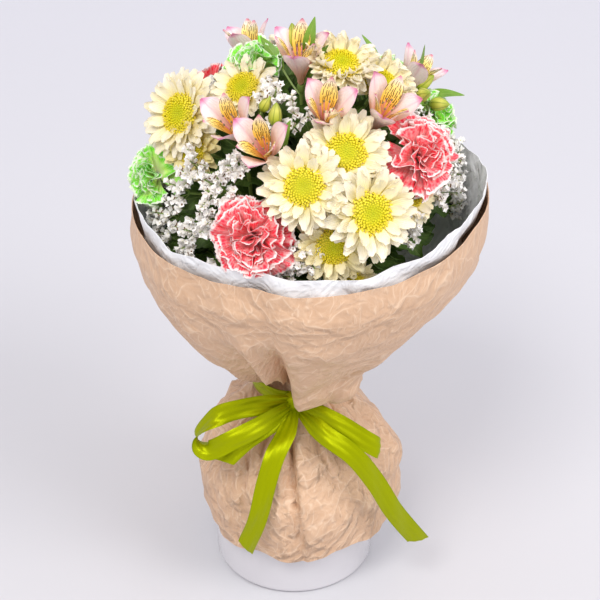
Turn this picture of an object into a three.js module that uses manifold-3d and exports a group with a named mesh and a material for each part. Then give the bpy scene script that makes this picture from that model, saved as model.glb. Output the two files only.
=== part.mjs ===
// A mixed bouquet in kraft paper and tissue, tied with a satin ribbon and standing in a round vase.
// Lengths are in millimetres. The origin is the centre of the vase's foot, +Z is up and -Y is the front.
import * as THREE from "three";
import { mergeVertices } from "three/addons/utils/BufferGeometryUtils.js";
import Module from "manifold-3d";

const wasm = await Module();
wasm.setup();

// Clearance between neighbouring pieces, and how far merged facets may stray from the shape.
const GAP = 0.3;
const STRAY = 0.22;
const FINE_STRAYS = [0.05, 0.1, 0.16, 0.02];

// Vase
const VASE_RADIUS = 67.4;
const VASE_HEIGHT = 115;
const VASE_WALL = 3.5;
const VASE_FLOOR = 6;
const VASE_BEVEL = 1.5;

// Stems stand in two rings round a middle one, parallel through the neck and spread below it.
const STEM_RADIUS = 2.9;
const STEM_PITCH = 6.6;
const STEM_SPREAD = 1.5;
const NECK_BOTTOM = 145;
const NECK_TOP = 212;
const TWIG_RADIUS = 1.5;

// Binding round the stems, and the satin ribbon round the paper
const BINDING_INNER = 16.7;
const BINDING_OUTER = 19.2;
const BINDING_HEIGHT = 13;
const TIE_LEVEL = 181.5;
const BAND_INNER = 33.8;
const RIBBON_WIDTH = 16;
const RIBBON_THICKNESS = 0.9;

// Paper: height and radius of the sheet's middle from hem to rim, with the depth of the pleats there.
const PAPER_THICKNESS = 0.7;
const PAPER_COLUMNS = 32;
const PLEATS = 8;
const PAPER_ROWS = [
  [52, 81.5, 1.4],
  [98, 84.5, 1.6],
  [142, 64, 3.6],
  [174, 27.7, 5.3],
  [189, 27.7, 5.3],
  [204, 52, 5],
  [236, 91, 3],
  [284, 124, 1.6],
  [318, 135.5, 1],
  [341, 134, 0.8],
];
const TISSUE_ROWS = [
  [174, 25.2, 5.3],
  [189, 25.2, 5.3],
  [236, 88, 3],
  [284, 121, 1.6],
  [318, 132.5, 1],
  [352, 131.5, 0.8],
];

// Dome that the flowers are set on
const DOME_CENTRE = new THREE.Vector3(11, 0, 330);
const DOME_RADIUS = 122;
const DOME_HEIGHT = 132;

// Each bloom has a radius and a place on the dome: azimuth and latitude in degrees, then its lift off it.
const MUMS = [
  { at: [-69, 26, 8], radius: 31, stem: "front" },
  { at: [-92, 35, 7], radius: 29, stem: "centre" },
  { at: [-73, 45, -1], radius: 30, stem: "centre" },
  { at: [-81, 16, -9], radius: 26, stem: "front" },
  { at: [-170, 42, 4], radius: 31, stem: "left" },
  { at: [-159, 36, -12], radius: 22, stem: "left" },
  { at: [-156, 64, -6], radius: 24, stem: "left" },
  { at: [-47, 75, 6], radius: 27, stem: "top" },
  { at: [-16, 63, -4], radius: 26, stem: "top" },
  { at: [-74, 1, -14], radius: 18, stem: "front" },
  { at: [-44, 27, -12], radius: 24, stem: "front" },
  { at: [98, 40, 3], radius: 29, stem: "back" },
  { at: [62, 22, -2], radius: 27, stem: "back" },
];
const CARNATIONS = [
  { name: "pink_front", at: [-110, 18, 5], radius: 31, slot: [2, 240] },
  { name: "pink_right", at: [-38, 37, 6], radius: 30, slot: [2, 330] },
  { name: "pink_back", at: [136, 30, 2], radius: 28, slot: [2, 120] },
  { name: "green_left", at: [-171, 18, 2], radius: 26, slot: [2, 180] },
  { name: "green_top", at: [168, 70, -2], radius: 24, slot: [1, 120] },
  { name: "green_behind", at: [29, 51, -5], radius: 21, slot: [1, 60] },
  { name: "green_right", at: [11, 36, -2], radius: 22, slot: [2, 30] },
];
const LILIES = [
  { at: [-105, 79, 8], radius: 22, stem: "top" },
  { at: [-132, 50, 2], radius: 21, stem: "left" },
  { at: [-110, 45, 8], radius: 22, stem: "left" },
  { at: [-80, 58, 4], radius: 21, stem: "top" },
  { at: [-45, 54, 4], radius: 22, stem: "top" },
  { at: [19, 48, 2], radius: 20, stem: "right" },
  { at: [132, 58, 2], radius: 21, stem: "right" },
];

// Branched stems: the slot in the bundle (ring, then angle in degrees), then leaves and buds by their tips.
// A leaf is [azimuth, latitude, lift, length, width] and a bud [azimuth, latitude, lift, length, width].
const MUM_STEMS = {
  front: {
    slot: [2, 300],
    leaves: [[-62, 4, -12, 34, 20], [-95, 24, -14, 30, 18], [-52, 38, -14, 30, 18]],
  },
  centre: {
    slot: [1, 300],
    leaves: [[-100, 8, -14, 34, 20], [-84, 52, -16, 28, 16]],
  },
  left: {
    slot: [1, 180],
    leaves: [[-152, 18, -8, 38, 24], [-138, 26, -16, 32, 18], [160, 38, -8, 38, 24]],
  },
  top: {
    slot: [0, 0],
    leaves: [[-62, 66, -14, 28, 16], [-14, 44, -10, 36, 22], [60, 70, -8, 36, 22]],
  },
  back: {
    slot: [2, 90],
    leaves: [[82, 14, -6, 40, 26], [118, 22, -6, 40, 26], [72, 50, -10, 38, 24], [38, 30, -8, 40, 26],
      [100, 62, -8, 38, 24]],
  },
};
const LILY_STEMS = {
  left: {
    slot: [1, 240],
    leaves: [[-100, 55, 6, 34, 9], [-150, 56, 0, 32, 9]],
    buds: [[-110, 60, 8, 17, 9], [-118, 63, 4, 14, 8]],
  },
  top: {
    slot: [1, 0],
    leaves: [[-75, 84, 34, 30, 8], [-55, 80, 16, 30, 8], [160, 74, 12, 30, 8]],
    buds: [[-140, 84, 27, 19, 9]],
  },
  right: {
    slot: [2, 60],
    leaves: [[20, 52, 26, 38, 9], [8, 36, 22, 38, 10], [50, 62, 10, 34, 9]],
    buds: [[12, 46, 14, 18, 10], [-12, 49, 12, 18, 10], [-2, 40, 12, 18, 10], [16, 41, 4, 34, 15]],
  },
};

// Statice: each cluster has a place on the dome and a reach, from its root to its florets' mouths.
const STATICE = {
  left: {
    slot: [2, 210],
    clusters: [[-146, 31, 2, 17], [-128, 29, 2, 16], [-124, 38, 2, 13], [-139, 10, 0, 17], [-129, 18, 0, 15],
      [-146, -2, -4, 15]],
  },
  front: {
    slot: [2, 270],
    clusters: [[-93, 12, -3, 14], [-101, 2, -6, 13], [-86, -3, -6, 12]],
  },
  right: {
    slot: [2, 0],
    clusters: [[-50, 17, -4, 17], [6, 22, 2, 18], [-28, 22, -4, 14], [36, 12, 0, 16]],
  },
  back: {
    slot: [2, 150],
    clusters: [[-123, 66, 2, 15], [166, 52, -4, 14], [150, 12, 0, 18]],
  },
};

const FRONT = new THREE.Vector3(0, -1, 0);
const UP = new THREE.Vector3(0, 0, 1);

// Named colours of the materials
const LOOKS = {
  glaze: { color: 0xf4f4f4, roughness: 0.25, metalness: 0 },
  kraft: { color: 0xdeb894, roughness: 0.85, metalness: 0 },
  tissue: { color: 0xf7f7f5, roughness: 0.8, metalness: 0 },
  satin: { color: 0xaabe0a, roughness: 0.35, metalness: 0 },
  tape: { color: 0xc9c4a8, roughness: 0.9, metalness: 0 },
  leaf: { color: 0x5f8437, roughness: 0.6, metalness: 0 },
  cream: { color: 0xfaf1cd, roughness: 0.6, metalness: 0 },
  yellow: { color: 0xe9dc2e, roughness: 0.8, metalness: 0 },
  coral: { color: 0xee6a6c, roughness: 0.6, metalness: 0 },
  lime: { color: 0x59cf45, roughness: 0.6, metalness: 0 },
  blush: { color: 0xf5dcd2, roughness: 0.55, metalness: 0 },
  papery: { color: 0xf0eee9, roughness: 0.8, metalness: 0 },
};

// Random numbers from a seed, the same on every run.
function draws(seed) {
  let state = seed;
  return (low, high) => {
    state = (state * 1664525 + 1013904223) % 4294967296;
    return low + ((high - low) * state) / 4294967296;
  };
}

function radians(degrees) {
  return THREE.MathUtils.degToRad(degrees);
}

// A closed three.js geometry as a solid that can be joined and cut.
function solidOf(geometry) {
  const bare = geometry.index ? geometry.toNonIndexed() : geometry.clone();
  bare.deleteAttribute("normal");
  bare.deleteAttribute("uv");
  const merged = mergeVertices(bare, 1e-4);
  const corners = merged.index.array;
  const kept = [];
  for (let i = 0; i < corners.length; i += 3) {
    const [a, b, c] = corners.slice(i, i + 3);
    if (a !== b && b !== c && c !== a) kept.push(a, b, c);
  }
  const vertProperties = new Float32Array(merged.attributes.position.array);
  const triVerts = new Uint32Array(kept);
  return new wasm.Manifold(new wasm.Mesh({ numProp: 3, vertProperties, triVerts }));
}

// The closed surface through the points, with a triple of indices for each facet.
function facets(points, faces) {
  const geometry = new THREE.BufferGeometry().setFromPoints(points);
  geometry.setIndex(faces.flat());
  return solidOf(geometry);
}

function joined(solids) {
  return solids.reduce((sum, solid) => sum.add(solid));
}

// Joins in pairs, so that each step joins solids of like size.
function fused(solids) {
  let level = solids;
  while (level.length > 1) {
    const next = [];
    for (let i = 0; i < level.length; i += 2) next.push(joined(level.slice(i, i + 2)));
    level = next;
  }
  return level[0];
}

// The largest body of a solid, without loose scraps or sealed hollows.
function largest(solid) {
  return solid.decompose().reduce((best, body) => (body.volume() > best.volume() ? body : best));
}

// True if each edge of a solid's facets has just two of them, once its corners are rounded to a thousandth.
function closesOnce(solid) {
  const { vertProperties, triVerts } = solid.getMesh();
  const rounded = (x) => Math.round(x * 1000);
  const corner = (i) => Array.from(vertProperties.slice(3 * i, 3 * i + 3), rounded).join();
  const uses = new Map();
  for (let i = 0; i < triVerts.length; i += 3) {
    const [a, b, c] = Array.from(triVerts.slice(i, i + 3), corner);
    for (const edge of [[a, b], [b, c], [c, a]]) {
      const key = edge.sort().join(" ");
      uses.set(key, (uses.get(key) ?? 0) + 1);
    }
  }
  return [...uses.values()].every((count) => count === 2);
}

// One closed body, with its small facets merged as finely as leaves no two of its edges touching.
function tidied(solid) {
  const tries = FINE_STRAYS.map((stray) => largest(solid.simplify(stray)));
  return tries.find(closesOnce) ?? tries[0];
}

function boxesMeet(a, b) {
  const p = a.boundingBox();
  const q = b.boundingBox();
  return [0, 1, 2].every((i) => p.min[i] <= q.max[i] && q.min[i] <= p.max[i]);
}

// The parts so far: each keeps a copy that is larger by the gap, which later pieces stay out of.
// The hearts are the room that each bloom's middle needs, which other blooms' petals stay out of as well.
const bouquet = new THREE.Group();
const placed = new Map();
const hearts = new Map();

// Builds a piece, keeps it out of the pieces before it and adds it to the bouquet as a named mesh.
function place(name, build, look) {
  let solid = build(0).simplify(STRAY);
  for (const other of placed.values()) {
    if (boxesMeet(solid, other)) solid = solid.subtract(other);
  }
  placed.set(name, build(GAP));
  const { vertProperties, triVerts } = tidied(solid).getMesh();
  const geometry = new THREE.BufferGeometry();
  geometry.setAttribute("position", new THREE.BufferAttribute(vertProperties, 3));
  geometry.setIndex(new THREE.BufferAttribute(triVerts, 1));
  geometry.computeVertexNormals();
  const mesh = new THREE.Mesh(geometry, new THREE.MeshStandardMaterial(LOOKS[look]));
  mesh.name = name;
  bouquet.add(mesh);
}

// Ways to lay a petal: degrees of bend, then the share of its length that is kept.
const WAYS = [0.999, 0.84, 0.7].flatMap((share) => [0, 8, -8, 16, -16, 25, -25].map((bend) => [bend, share]));

// Petals or florets, each bent or shortened until it is clear of all but its own bloom's pieces, or left out.
function fitted(makers, own) {
  const others = [...placed, ...hearts].filter(([name]) => !own.includes(name)).map(([, grown]) => grown);
  const kept = [];
  for (const make of makers) {
    const way = WAYS.find(([bend, share]) => {
      const petal = make(bend, share, 0);
      return others.every((other) => !boxesMeet(petal, other) || petal.intersect(other).isEmpty());
    });
    if (way) kept.push((margin) => make(...way, margin));
  }
  return kept;
}

// A place on the dome, from azimuth and latitude in degrees and the lift off the dome.
function domePoint([azimuth, latitude, lift]) {
  const flat = (DOME_RADIUS + lift) * Math.cos(radians(latitude));
  return new THREE.Vector3(
    flat * Math.cos(radians(azimuth)),
    flat * Math.sin(radians(azimuth)),
    (DOME_HEIGHT + lift) * Math.sin(radians(latitude)),
  ).add(DOME_CENTRE);
}

function domeNormal([azimuth, latitude]) {
  const flat = Math.cos(radians(latitude)) / DOME_RADIUS;
  return new THREE.Vector3(
    flat * Math.cos(radians(azimuth)),
    flat * Math.sin(radians(azimuth)),
    Math.sin(radians(latitude)) / DOME_HEIGHT,
  ).normalize();
}

// The frame at a point whose Z axis is the given direction, turned about it in degrees.
function frameAt(point, direction, turn = 0) {
  const facing = new THREE.Quaternion().setFromUnitVectors(UP, direction);
  facing.multiply(new THREE.Quaternion().setFromAxisAngle(UP, radians(turn)));
  return new THREE.Matrix4().compose(point, facing, new THREE.Vector3(1, 1, 1));
}

function bloomFrame({ at }, turn = 0) {
  return frameAt(domePoint(at), domeNormal(at), turn);
}

// A thin lens: an outline that runs anticlockwise seen from +Z, closed on both sides at a thicker middle.
function lens(outline, middle, half, frame, margin) {
  const rim = outline.map((p) => {
    const out = p.clone().sub(middle);
    return p.clone().add(out.setLength(margin));
  });
  const top = middle.clone().addScaledVector(UP, half + margin);
  const bottom = middle.clone().addScaledVector(UP, -half - margin);
  const points = [...rim, top, bottom].map((p) => p.applyMatrix4(frame));
  const n = rim.length;
  const faces = rim.flatMap((_, i) => [[i, (i + 1) % n, n], [(i + 1) % n, i, n + 1]]);
  return facets(points, faces);
}

// A long blade in the frame's XZ plane. Its spine is a list of [x, z, half width, lift of the edges] from the
// root to the tip, which are points. Sections between them are thin diamonds.
function blade(spine, half, frame, margin) {
  const sections = spine.slice(1, -1);
  const points = [new THREE.Vector3(spine[0][0] - margin, 0, spine[0][1])];
  for (const [x, z, width, lift] of sections) {
    points.push(
      new THREE.Vector3(x, -width - margin, z + lift),
      new THREE.Vector3(x, 0, z + half + margin),
      new THREE.Vector3(x, width + margin, z + lift),
      new THREE.Vector3(x, 0, z - half - margin),
    );
  }
  const tip = points.length;
  points.push(new THREE.Vector3(spine.at(-1)[0] + margin, 0, spine.at(-1)[1]));
  const faces = [];
  const last = tip - 4;
  for (const side of [0, 1, 2, 3]) {
    const next = (side + 1) % 4;
    faces.push([0, 1 + side, 1 + next], [tip, last + next, last + side]);
    for (let a = 1; a < last; a += 4) {
      const [p, q, r, s] = [a + side, a + 4 + side, a + 4 + next, a + next];
      faces.push(...(side % 2 === 0 ? [[p, q, r], [p, r, s]] : [[p, q, s], [q, r, s]]));
    }
  }
  return facets(points.map((p) => p.applyMatrix4(frame)), faces);
}

// A tube with few sides along a smooth curve through the points.
function tube(points, radius, sides, steps) {
  const section = new THREE.Shape();
  for (let i = 0; i < sides; i++) {
    const angle = (2 * Math.PI * i) / sides;
    const corner = [radius * Math.cos(angle), radius * Math.sin(angle)];
    if (i === 0) section.moveTo(...corner);
    else section.lineTo(...corner);
  }
  section.closePath();
  const extrudePath = new THREE.CatmullRomCurve3(points);
  return solidOf(new THREE.ExtrudeGeometry(section, { steps, extrudePath, bevelEnabled: false }));
}

// A profile of [radius, height] pairs turned about the frame's Z axis.
function turned(profile, segments, frame = new THREE.Matrix4()) {
  const outline = profile.map(([radius, height]) => new THREE.Vector2(radius, height));
  const geometry = new THREE.LatheGeometry(outline, segments).rotateX(Math.PI / 2);
  return solidOf(geometry.applyMatrix4(frame));
}

function vase() {
  const inner = VASE_RADIUS - VASE_WALL;
  return turned([
    [0, 0],
    [VASE_RADIUS - VASE_BEVEL, 0],
    [VASE_RADIUS, VASE_BEVEL],
    [VASE_RADIUS, VASE_HEIGHT - VASE_BEVEL],
    [VASE_RADIUS - VASE_WALL / 2, VASE_HEIGHT],
    [inner, VASE_HEIGHT - VASE_BEVEL],
    [inner, VASE_FLOOR],
    [0, VASE_FLOOR],
  ], 26);
}

// The bouquet leans a little to +X: its middle line at a height.
function middleLine(height) {
  return height < NECK_TOP
    ? THREE.MathUtils.mapLinear(THREE.MathUtils.clamp(height, 60, 150), 60, 150, 5, 0)
    : THREE.MathUtils.mapLinear(Math.min(height, 330), NECK_TOP, 330, 0, DOME_CENTRE.x);
}

// A ring of rows round the neck, from a table of heights, radii and pleat depths, with slow folds all round.
function paperSurface(rows, rimRise, hemWave) {
  return (column, row) => {
    const [height, radius, pleat] = rows[row];
    const angle = (2 * Math.PI * column) / PAPER_COLUMNS;
    const slow = Math.sin(3 * angle + 0.6) + 0.7 * Math.sin(5 * angle + 2.1);
    const bulge = 9 * Math.exp(-(((height - 203) / 10) ** 2)) * Math.max(0, -Math.sin(angle)) ** 2;
    const reach = radius + bulge + pleat * Math.cos(PLEATS * angle) + (radius > 60 ? slow * 1.3 : 0);
    const rise = row === rows.length - 1 ? rimRise(angle, column) : 0;
    const drop = row === 0 ? hemWave(angle) : 0;
    const x = middleLine(height) + reach * Math.cos(angle);
    return new THREE.Vector3(x, reach * Math.sin(angle), height + rise - drop);
  };
}

// A closed ring of sheet on both sides of a surface of columns and rows.
function sheet(surface, rows, thickness) {
  const columns = PAPER_COLUMNS;
  const outer = [];
  const inner = [];
  for (let row = 0; row < rows; row++) {
    for (let column = 0; column < columns; column++) {
      const across = surface(column + 1, row).sub(surface(column - 1, row));
      const along = surface(column, Math.min(row + 1, rows - 1)).sub(surface(column, Math.max(row - 1, 0)));
      const normal = across.cross(along).normalize();
      outer.push(surface(column, row).addScaledVector(normal, thickness / 2));
      inner.push(surface(column, row).addScaledVector(normal, -thickness / 2));
    }
  }
  const n = outer.length;
  const faces = [];
  for (let column = 0; column < columns; column++) {
    const next = (column + 1) % columns;
    for (let row = 0; row < rows - 1; row++) {
      const [p, q] = [row * columns + column, row * columns + next];
      const [r, s] = [q + columns, p + columns];
      faces.push([p, q, r], [p, r, s], [n + q, n + p, n + r], [n + r, n + p, n + s]);
    }
    const top = (rows - 1) * columns;
    faces.push([next, column, n + column], [next, n + column, n + next]);
    faces.push([top + column, top + next, n + top + next], [top + column, n + top + next, n + top + column]);
  }
  return facets([...outer, ...inner], faces);
}

function kraftWrapper(margin) {
  const rimRise = (angle) => 11 * Math.max(0, Math.cos(angle - 0.3)) ** 2;
  const hemWave = (angle) => 3 * Math.sin(3 * angle + 1) + 2 * Math.sin(7 * angle);
  return sheet(paperSurface(PAPER_ROWS, rimRise, hemWave), PAPER_ROWS.length, PAPER_THICKNESS + 2 * margin);
}

function tissueLiner(margin) {
  const rimRise = (angle, column) => 13 * Math.max(0, Math.cos(angle - 0.2)) ** 2 + (column % 2 ? 2.5 : -1);
  return sheet(paperSurface(TISSUE_ROWS, rimRise, () => 0), TISSUE_ROWS.length, PAPER_THICKNESS + 2 * margin);
}

// A tape of rectangular section along hand-placed points, its width turning evenly between two sides.
// It is gathered where it comes out of the knot, and at its other end too where that goes back into the knot.
function ribbonRun({ points, sides, steps, loop }, margin) {
  const curve = new THREE.CatmullRomCurve3(points.map((p) => new THREE.Vector3(...p)));
  const corners = [];
  for (let i = 0; i <= steps; i++) {
    const along = curve.getTangent(i / steps);
    const side = new THREE.Vector3(...sides[0]).lerp(new THREE.Vector3(...sides[1]), i / steps);
    const fromKnot = loop ? Math.min(i, steps - i) : i;
    side.addScaledVector(along, -side.dot(along)).normalize();
    const face = side.clone().cross(along);
    const half = (RIBBON_WIDTH / 2) * Math.min(1, 0.3 + 0.4 * fromKnot) + margin;
    const thick = RIBBON_THICKNESS / 2 + margin;
    for (const [a, b] of [[-1, -1], [1, -1], [1, 1], [-1, 1]]) {
      const at = curve.getPoint(i / steps);
      corners.push(at.addScaledVector(side, a * half).addScaledVector(face, b * thick));
    }
  }
  const end = 4 * steps;
  const faces = [[0, 1, 2], [0, 2, 3], [end + 2, end + 1, end], [end + 3, end + 2, end]];
  for (let i = 0; i < steps; i++) {
    for (let k = 0; k < 4; k++) {
      const [p, q] = [4 * i + k, 4 * i + ((k + 1) % 4)];
      faces.push([p, q + 4, q], [p, p + 4, q + 4]);
    }
  }
  return facets(corners, faces);
}

// Satin bow: a band round the neck, a knot in front of it, two loops and three tails.
function ribbonBow(margin) {
  const [bottom, top] = [TIE_LEVEL - 6 - margin, TIE_LEVEL + 6 + margin];
  const [inner, outer] = [BAND_INNER - margin, BAND_INNER + 1.2 + margin];
  const band = turned([[inner, bottom], [outer, bottom], [outer, top], [inner, top], [inner, bottom]], 18);
  const knot = new THREE.SphereGeometry(1, 8, 6);
  knot.scale(8.5 + margin, 6.5 + margin, 8.5 + margin).translate(0, -39, TIE_LEVEL);
  const upright = [0, 0.45, 0.9];
  const level = [1, 0.1, 0.1];
  const runs = [
    {
      points: [[2, -39, 182], [-19, -47, 188], [-40, -55, 188], [-60, -59, 178], [-74, -62, 163],
        [-60, -72, 161], [-42, -73, 170], [-20, -62, 177], [2, -39, 178]],
      sides: [upright, upright],
      steps: 9,
      loop: true,
    },
    {
      points: [[-2, -39, 182], [20, -48, 188], [42, -55, 184], [60, -57, 170], [66, -62, 157],
        [56, -69, 158], [38, -67, 169], [18, -56, 178], [-1, -39, 179]],
      sides: [upright, upright],
      steps: 9,
      loop: true,
    },
    {
      points: [[1, -39, 178], [-5, -60, 168], [-14, -77, 158], [-21, -86, 139], [-28, -91, 107],
        [-39, -93, 72]],
      sides: [level, level],
      steps: 6,
    },
    {
      points: [[2, -40, 178], [22, -68, 172], [46, -80, 159], [64, -79, 132], [81, -74, 96], [103, -62, 55]],
      sides: [[0.5, 0.4, 0.75], [0.79, 0.33, 0.51]],
      steps: 6,
    },
    {
      points: [[2, -41, 179], [-22, -74, 173], [-42, -80, 167], [-54, -81, 155]],
      sides: [upright, upright],
      steps: 4,
    },
  ];
  return fused([band, solidOf(knot), ...runs.map((run) => ribbonRun(run, margin))]);
}

// A stem's foot on the vase floor and its two points in the neck, from its slot in the bundle.
function bundlePoints([ring, angle]) {
  const corner = ring < 2 || angle % 60 === 0;
  const radius = STEM_PITCH * ring * (corner ? 1 : Math.cos(Math.PI / 6));
  const slot = new THREE.Vector3(Math.cos(radians(angle)), Math.sin(radians(angle)), 0);
  slot.multiplyScalar(radius);
  const foot = slot.clone().multiplyScalar(1 + STEM_SPREAD);
  return [
    foot.setZ(VASE_FLOOR + GAP),
    slot.clone().setZ(NECK_BOTTOM),
    slot.clone().setZ((NECK_BOTTOM + NECK_TOP) / 2),
    slot.clone().setZ(NECK_TOP),
  ];
}

// Where a bloom's stem ends behind it, and the point that the stem comes from, straight behind that.
function bloomApproach({ at, radius }, depth, axis = domeNormal(at)) {
  const end = domePoint(at).addScaledVector(axis, -depth);
  return [end.clone().addScaledVector(axis, -radius * 1.1), end];
}

// The axis of an alstroemeria bloom: between the dome's normal and straight up, nodding to the front.
function lilyAxis({ at }) {
  return domeNormal(at).addScaledVector(UP, 0.35).addScaledVector(FRONT, 0.15).normalize();
}

// How far behind its face each kind of bloom is held, as a share of the radius
const MUM_DEPTH = 0.2;
const CARNATION_DEPTH = 0.6;
const LILY_DEPTH = 1.15;

// Heights in a chrysanthemum's own frame: the hub that its petals grow from, and the disc on top of it
const HUB_BOTTOM = -3.5;
const HUB_TOP = 0.2;
const DISC_BOTTOM = HUB_TOP + GAP + 0.05;

// The routes of all stems and twigs: a list of points each, with the piece that they belong to.
const routes = [];

function addRoute(owner, points, radius, fixed) {
  routes.push({ owner, points, radius, fixed });
}

// A branched stem: one route up to a fork, and one from there to each of its heads.
function branchRoutes(owner, slot, heads) {
  const bundle = bundlePoints(slot);
  const centre = new THREE.Vector3();
  heads.forEach(([approach]) => centre.addScaledVector(approach, 1 / heads.length));
  const fork = bundle.at(-1).clone().lerp(centre, 0.5);
  const below = bundle.at(-1).clone().lerp(fork, 0.55);
  addRoute(owner, [...bundle, below, fork], STEM_RADIUS, bundle.length);
  for (const [approach, end] of heads) {
    const start = fork.clone().lerp(below, 0.12);
    addRoute(owner, [start, start.clone().lerp(approach, 0.5), approach, end], TWIG_RADIUS, 1);
  }
}

function headsOf(blooms, key, share, axisOf = ({ at }) => domeNormal(at)) {
  return blooms.filter(({ stem }) => stem === key).map((bloom) =>
    bloomApproach(bloom, bloom.radius * share, axisOf(bloom)));
}

for (const [key, { slot }] of Object.entries(MUM_STEMS)) {
  branchRoutes("chrysanthemum_stem_" + key, slot, headsOf(MUMS, key, MUM_DEPTH));
}
for (const [key, { slot }] of Object.entries(LILY_STEMS)) {
  branchRoutes("alstroemeria_stem_" + key, slot, headsOf(LILIES, key, LILY_DEPTH, lilyAxis));
}
for (const [key, { slot, clusters }] of Object.entries(STATICE)) {
  const heads = clusters.map(([azimuth, latitude, lift, reach]) =>
    bloomApproach({ at: [azimuth, latitude, lift], radius: reach }, reach),
  );
  branchRoutes("statice_" + key, slot, heads);
}
for (const carnation of CARNATIONS) {
  const bundle = bundlePoints(carnation.slot);
  const [approach, end] = bloomApproach(carnation, carnation.radius * CARNATION_DEPTH);
  const middle = bundle.at(-1).clone().lerp(approach, 0.5);
  addRoute("carnation_" + carnation.name, [...bundle, middle, approach, end], STEM_RADIUS, bundle.length);
}

// Springs the routes apart where they would touch each other or a bloom's back, above the neck.
const CLEAR_OF_ROUTE = 2;
const CLEAR_OF_BLOOM = 13;
const SAMPLES = 5;

function samplesOf(route) {
  const samples = [];
  for (let i = route.fixed - 1; i < route.points.length - 1; i++) {
    for (let k = 0; k < SAMPLES; k++) samples.push([i, k / SAMPLES]);
  }
  return samples;
}

function samplePoint({ points }, [i, share]) {
  return points[i].clone().lerp(points[i + 1], share);
}

// Moves the two points on both sides of a sample, where they are free to move.
function push(route, [i, share], shift) {
  const after = i + 1;
  if (i >= route.fixed) route.points[i].addScaledVector(shift, 1 - share);
  if (after >= route.fixed && after < route.points.length - 1) {
    route.points[after].addScaledVector(shift, share);
  }
}

function springApart(rounds) {
  const blooms = [...MUMS, ...CARNATIONS].map(({ at }) =>
    domePoint(at).addScaledVector(domeNormal(at), -4));
  for (let round = 0; round < rounds; round++) {
    routes.forEach((route, index) => {
      const samples = samplesOf(route);
      for (const other of routes.slice(index + 1)) {
        if (other.owner === route.owner) continue;
        const clearance = route.radius + other.radius + CLEAR_OF_ROUTE;
        for (const sample of samples) {
          for (const otherSample of samplesOf(other)) {
            const apart = samplePoint(route, sample).sub(samplePoint(other, otherSample));
            const gap = apart.length();
            if (gap >= clearance) continue;
            apart.setLength((clearance - gap) / 2);
            push(route, sample, apart);
            push(other, otherSample, apart.negate());
          }
        }
      }
      for (const sample of samples) {
        for (const bloom of blooms) {
          const apart = samplePoint(route, sample).sub(bloom);
          const near = CLEAR_OF_BLOOM + route.radius - apart.length();
          const atEnd = bloom.distanceTo(route.points.at(-1)) < CLEAR_OF_BLOOM;
          if (near > 0 && !atEnd) push(route, sample, apart.setLength(near / 2));
        }
      }
    });
  }
}

springApart(60);

// The stems of one piece, with their twigs sunk into them.
function stemTubes(owner, margin) {
  return routes.filter((route) => route.owner === owner).map(({ points, radius }) => {
    const main = radius === STEM_RADIUS;
    return tube(points, radius + margin, main ? 5 : 3, main ? 5 : 3);
  });
}

// The point on a piece's own stems that lies nearest to a place.
function nearestOnStem(owner, place) {
  let best = null;
  for (const route of routes.filter((candidate) => candidate.owner === owner)) {
    for (const sample of samplesOf(route)) {
      const point = samplePoint(route, sample);
      if (!best || point.distanceTo(place) < best.distanceTo(place)) best = point;
    }
  }
  return best;
}

// What grows from a stem towards a tip: a thin stalk to the foot of the leaf or bud, and the frame there,
// whose X axis points along it and whose Z axis faces out of the dome.
function outgrowth(owner, at, length) {
  const tip = domePoint(at);
  const root = nearestOnStem(owner, tip.clone().addScaledVector(domeNormal(at), -length));
  const along = tip.clone().sub(root);
  const far = along.length() > length * 1.05;
  const foot = far ? tip.clone().addScaledVector(along.normalize(), -length) : root;
  const forward = tip.clone().sub(foot).normalize();
  const face = domeNormal(at).addScaledVector(FRONT, 0.4);
  face.addScaledVector(forward, -face.dot(forward)).normalize();
  const frame = new THREE.Matrix4().makeBasis(forward, face.clone().cross(forward), face).setPosition(foot);
  return { root, foot, forward, frame, length: tip.distanceTo(foot) };
}

function stalk({ root, foot, forward }, margin) {
  if (root.distanceTo(foot) < 1) return [];
  const inside = foot.clone().addScaledVector(forward, 3);
  return [tube([root, inside], 0.9 + margin, 3, 1)];
}

// A lobed leaf: the outline goes in and out on both sides of the midrib, and the blade arches.
function lobedLeaf(owner, [azimuth, latitude, lift, length, width], margin) {
  const growth = outgrowth(owner, [azimuth, latitude, lift], length);
  const side = [[0.33, 0.8], [0.45, 0.45], [0.68, 1], [0.76, 0.5]];
  const half = [[0, 0], ...side, [1, 0]];
  const round = [...half, ...side.map(([x, y]) => [x, -y]).reverse()].reverse();
  const outline = round.map(([x, y]) => new THREE.Vector3(
    x * growth.length, (y * width) / 2, 3 * Math.sin(Math.PI * x) + 2 * Math.abs(y)));
  const middle = new THREE.Vector3(growth.length * 0.5, 0, 3);
  return [lens(outline, middle, 0.6, growth.frame, margin), ...stalk(growth, margin)];
}

// A lance-shaped leaf with an arched midrib.
function lanceLeaf(owner, [azimuth, latitude, lift, length, width], margin) {
  const growth = outgrowth(owner, [azimuth, latitude, lift], length);
  const spine = [[0, 0, 0, 0], [0.3, 0.07, 0.38, 0.03], [0.65, 0.08, 0.5, 0.03], [1, 0, 0, 0]];
  const scaled = spine.map(([x, z, half, edge]) => [
    x * growth.length, z * growth.length, half * width, edge * growth.length]);
  return [blade(scaled, 0.6, growth.frame, margin), ...stalk(growth, margin)];
}

// A bud: a five-sided spindle, widest nearer its foot.
function bud(owner, [azimuth, latitude, lift, length, width], margin) {
  const growth = outgrowth(owner, [azimuth, latitude, lift], length);
  const half = width / 2 + margin;
  const spindle = turned([[0, -margin], [half, length * 0.35], [half * 0.7, length * 0.75],
    [0, length + margin]], 5);
  const upright = frameAt(growth.foot, growth.forward);
  return [spindle.transform(upright.toArray()), ...stalk(growth, margin)];
}

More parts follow.
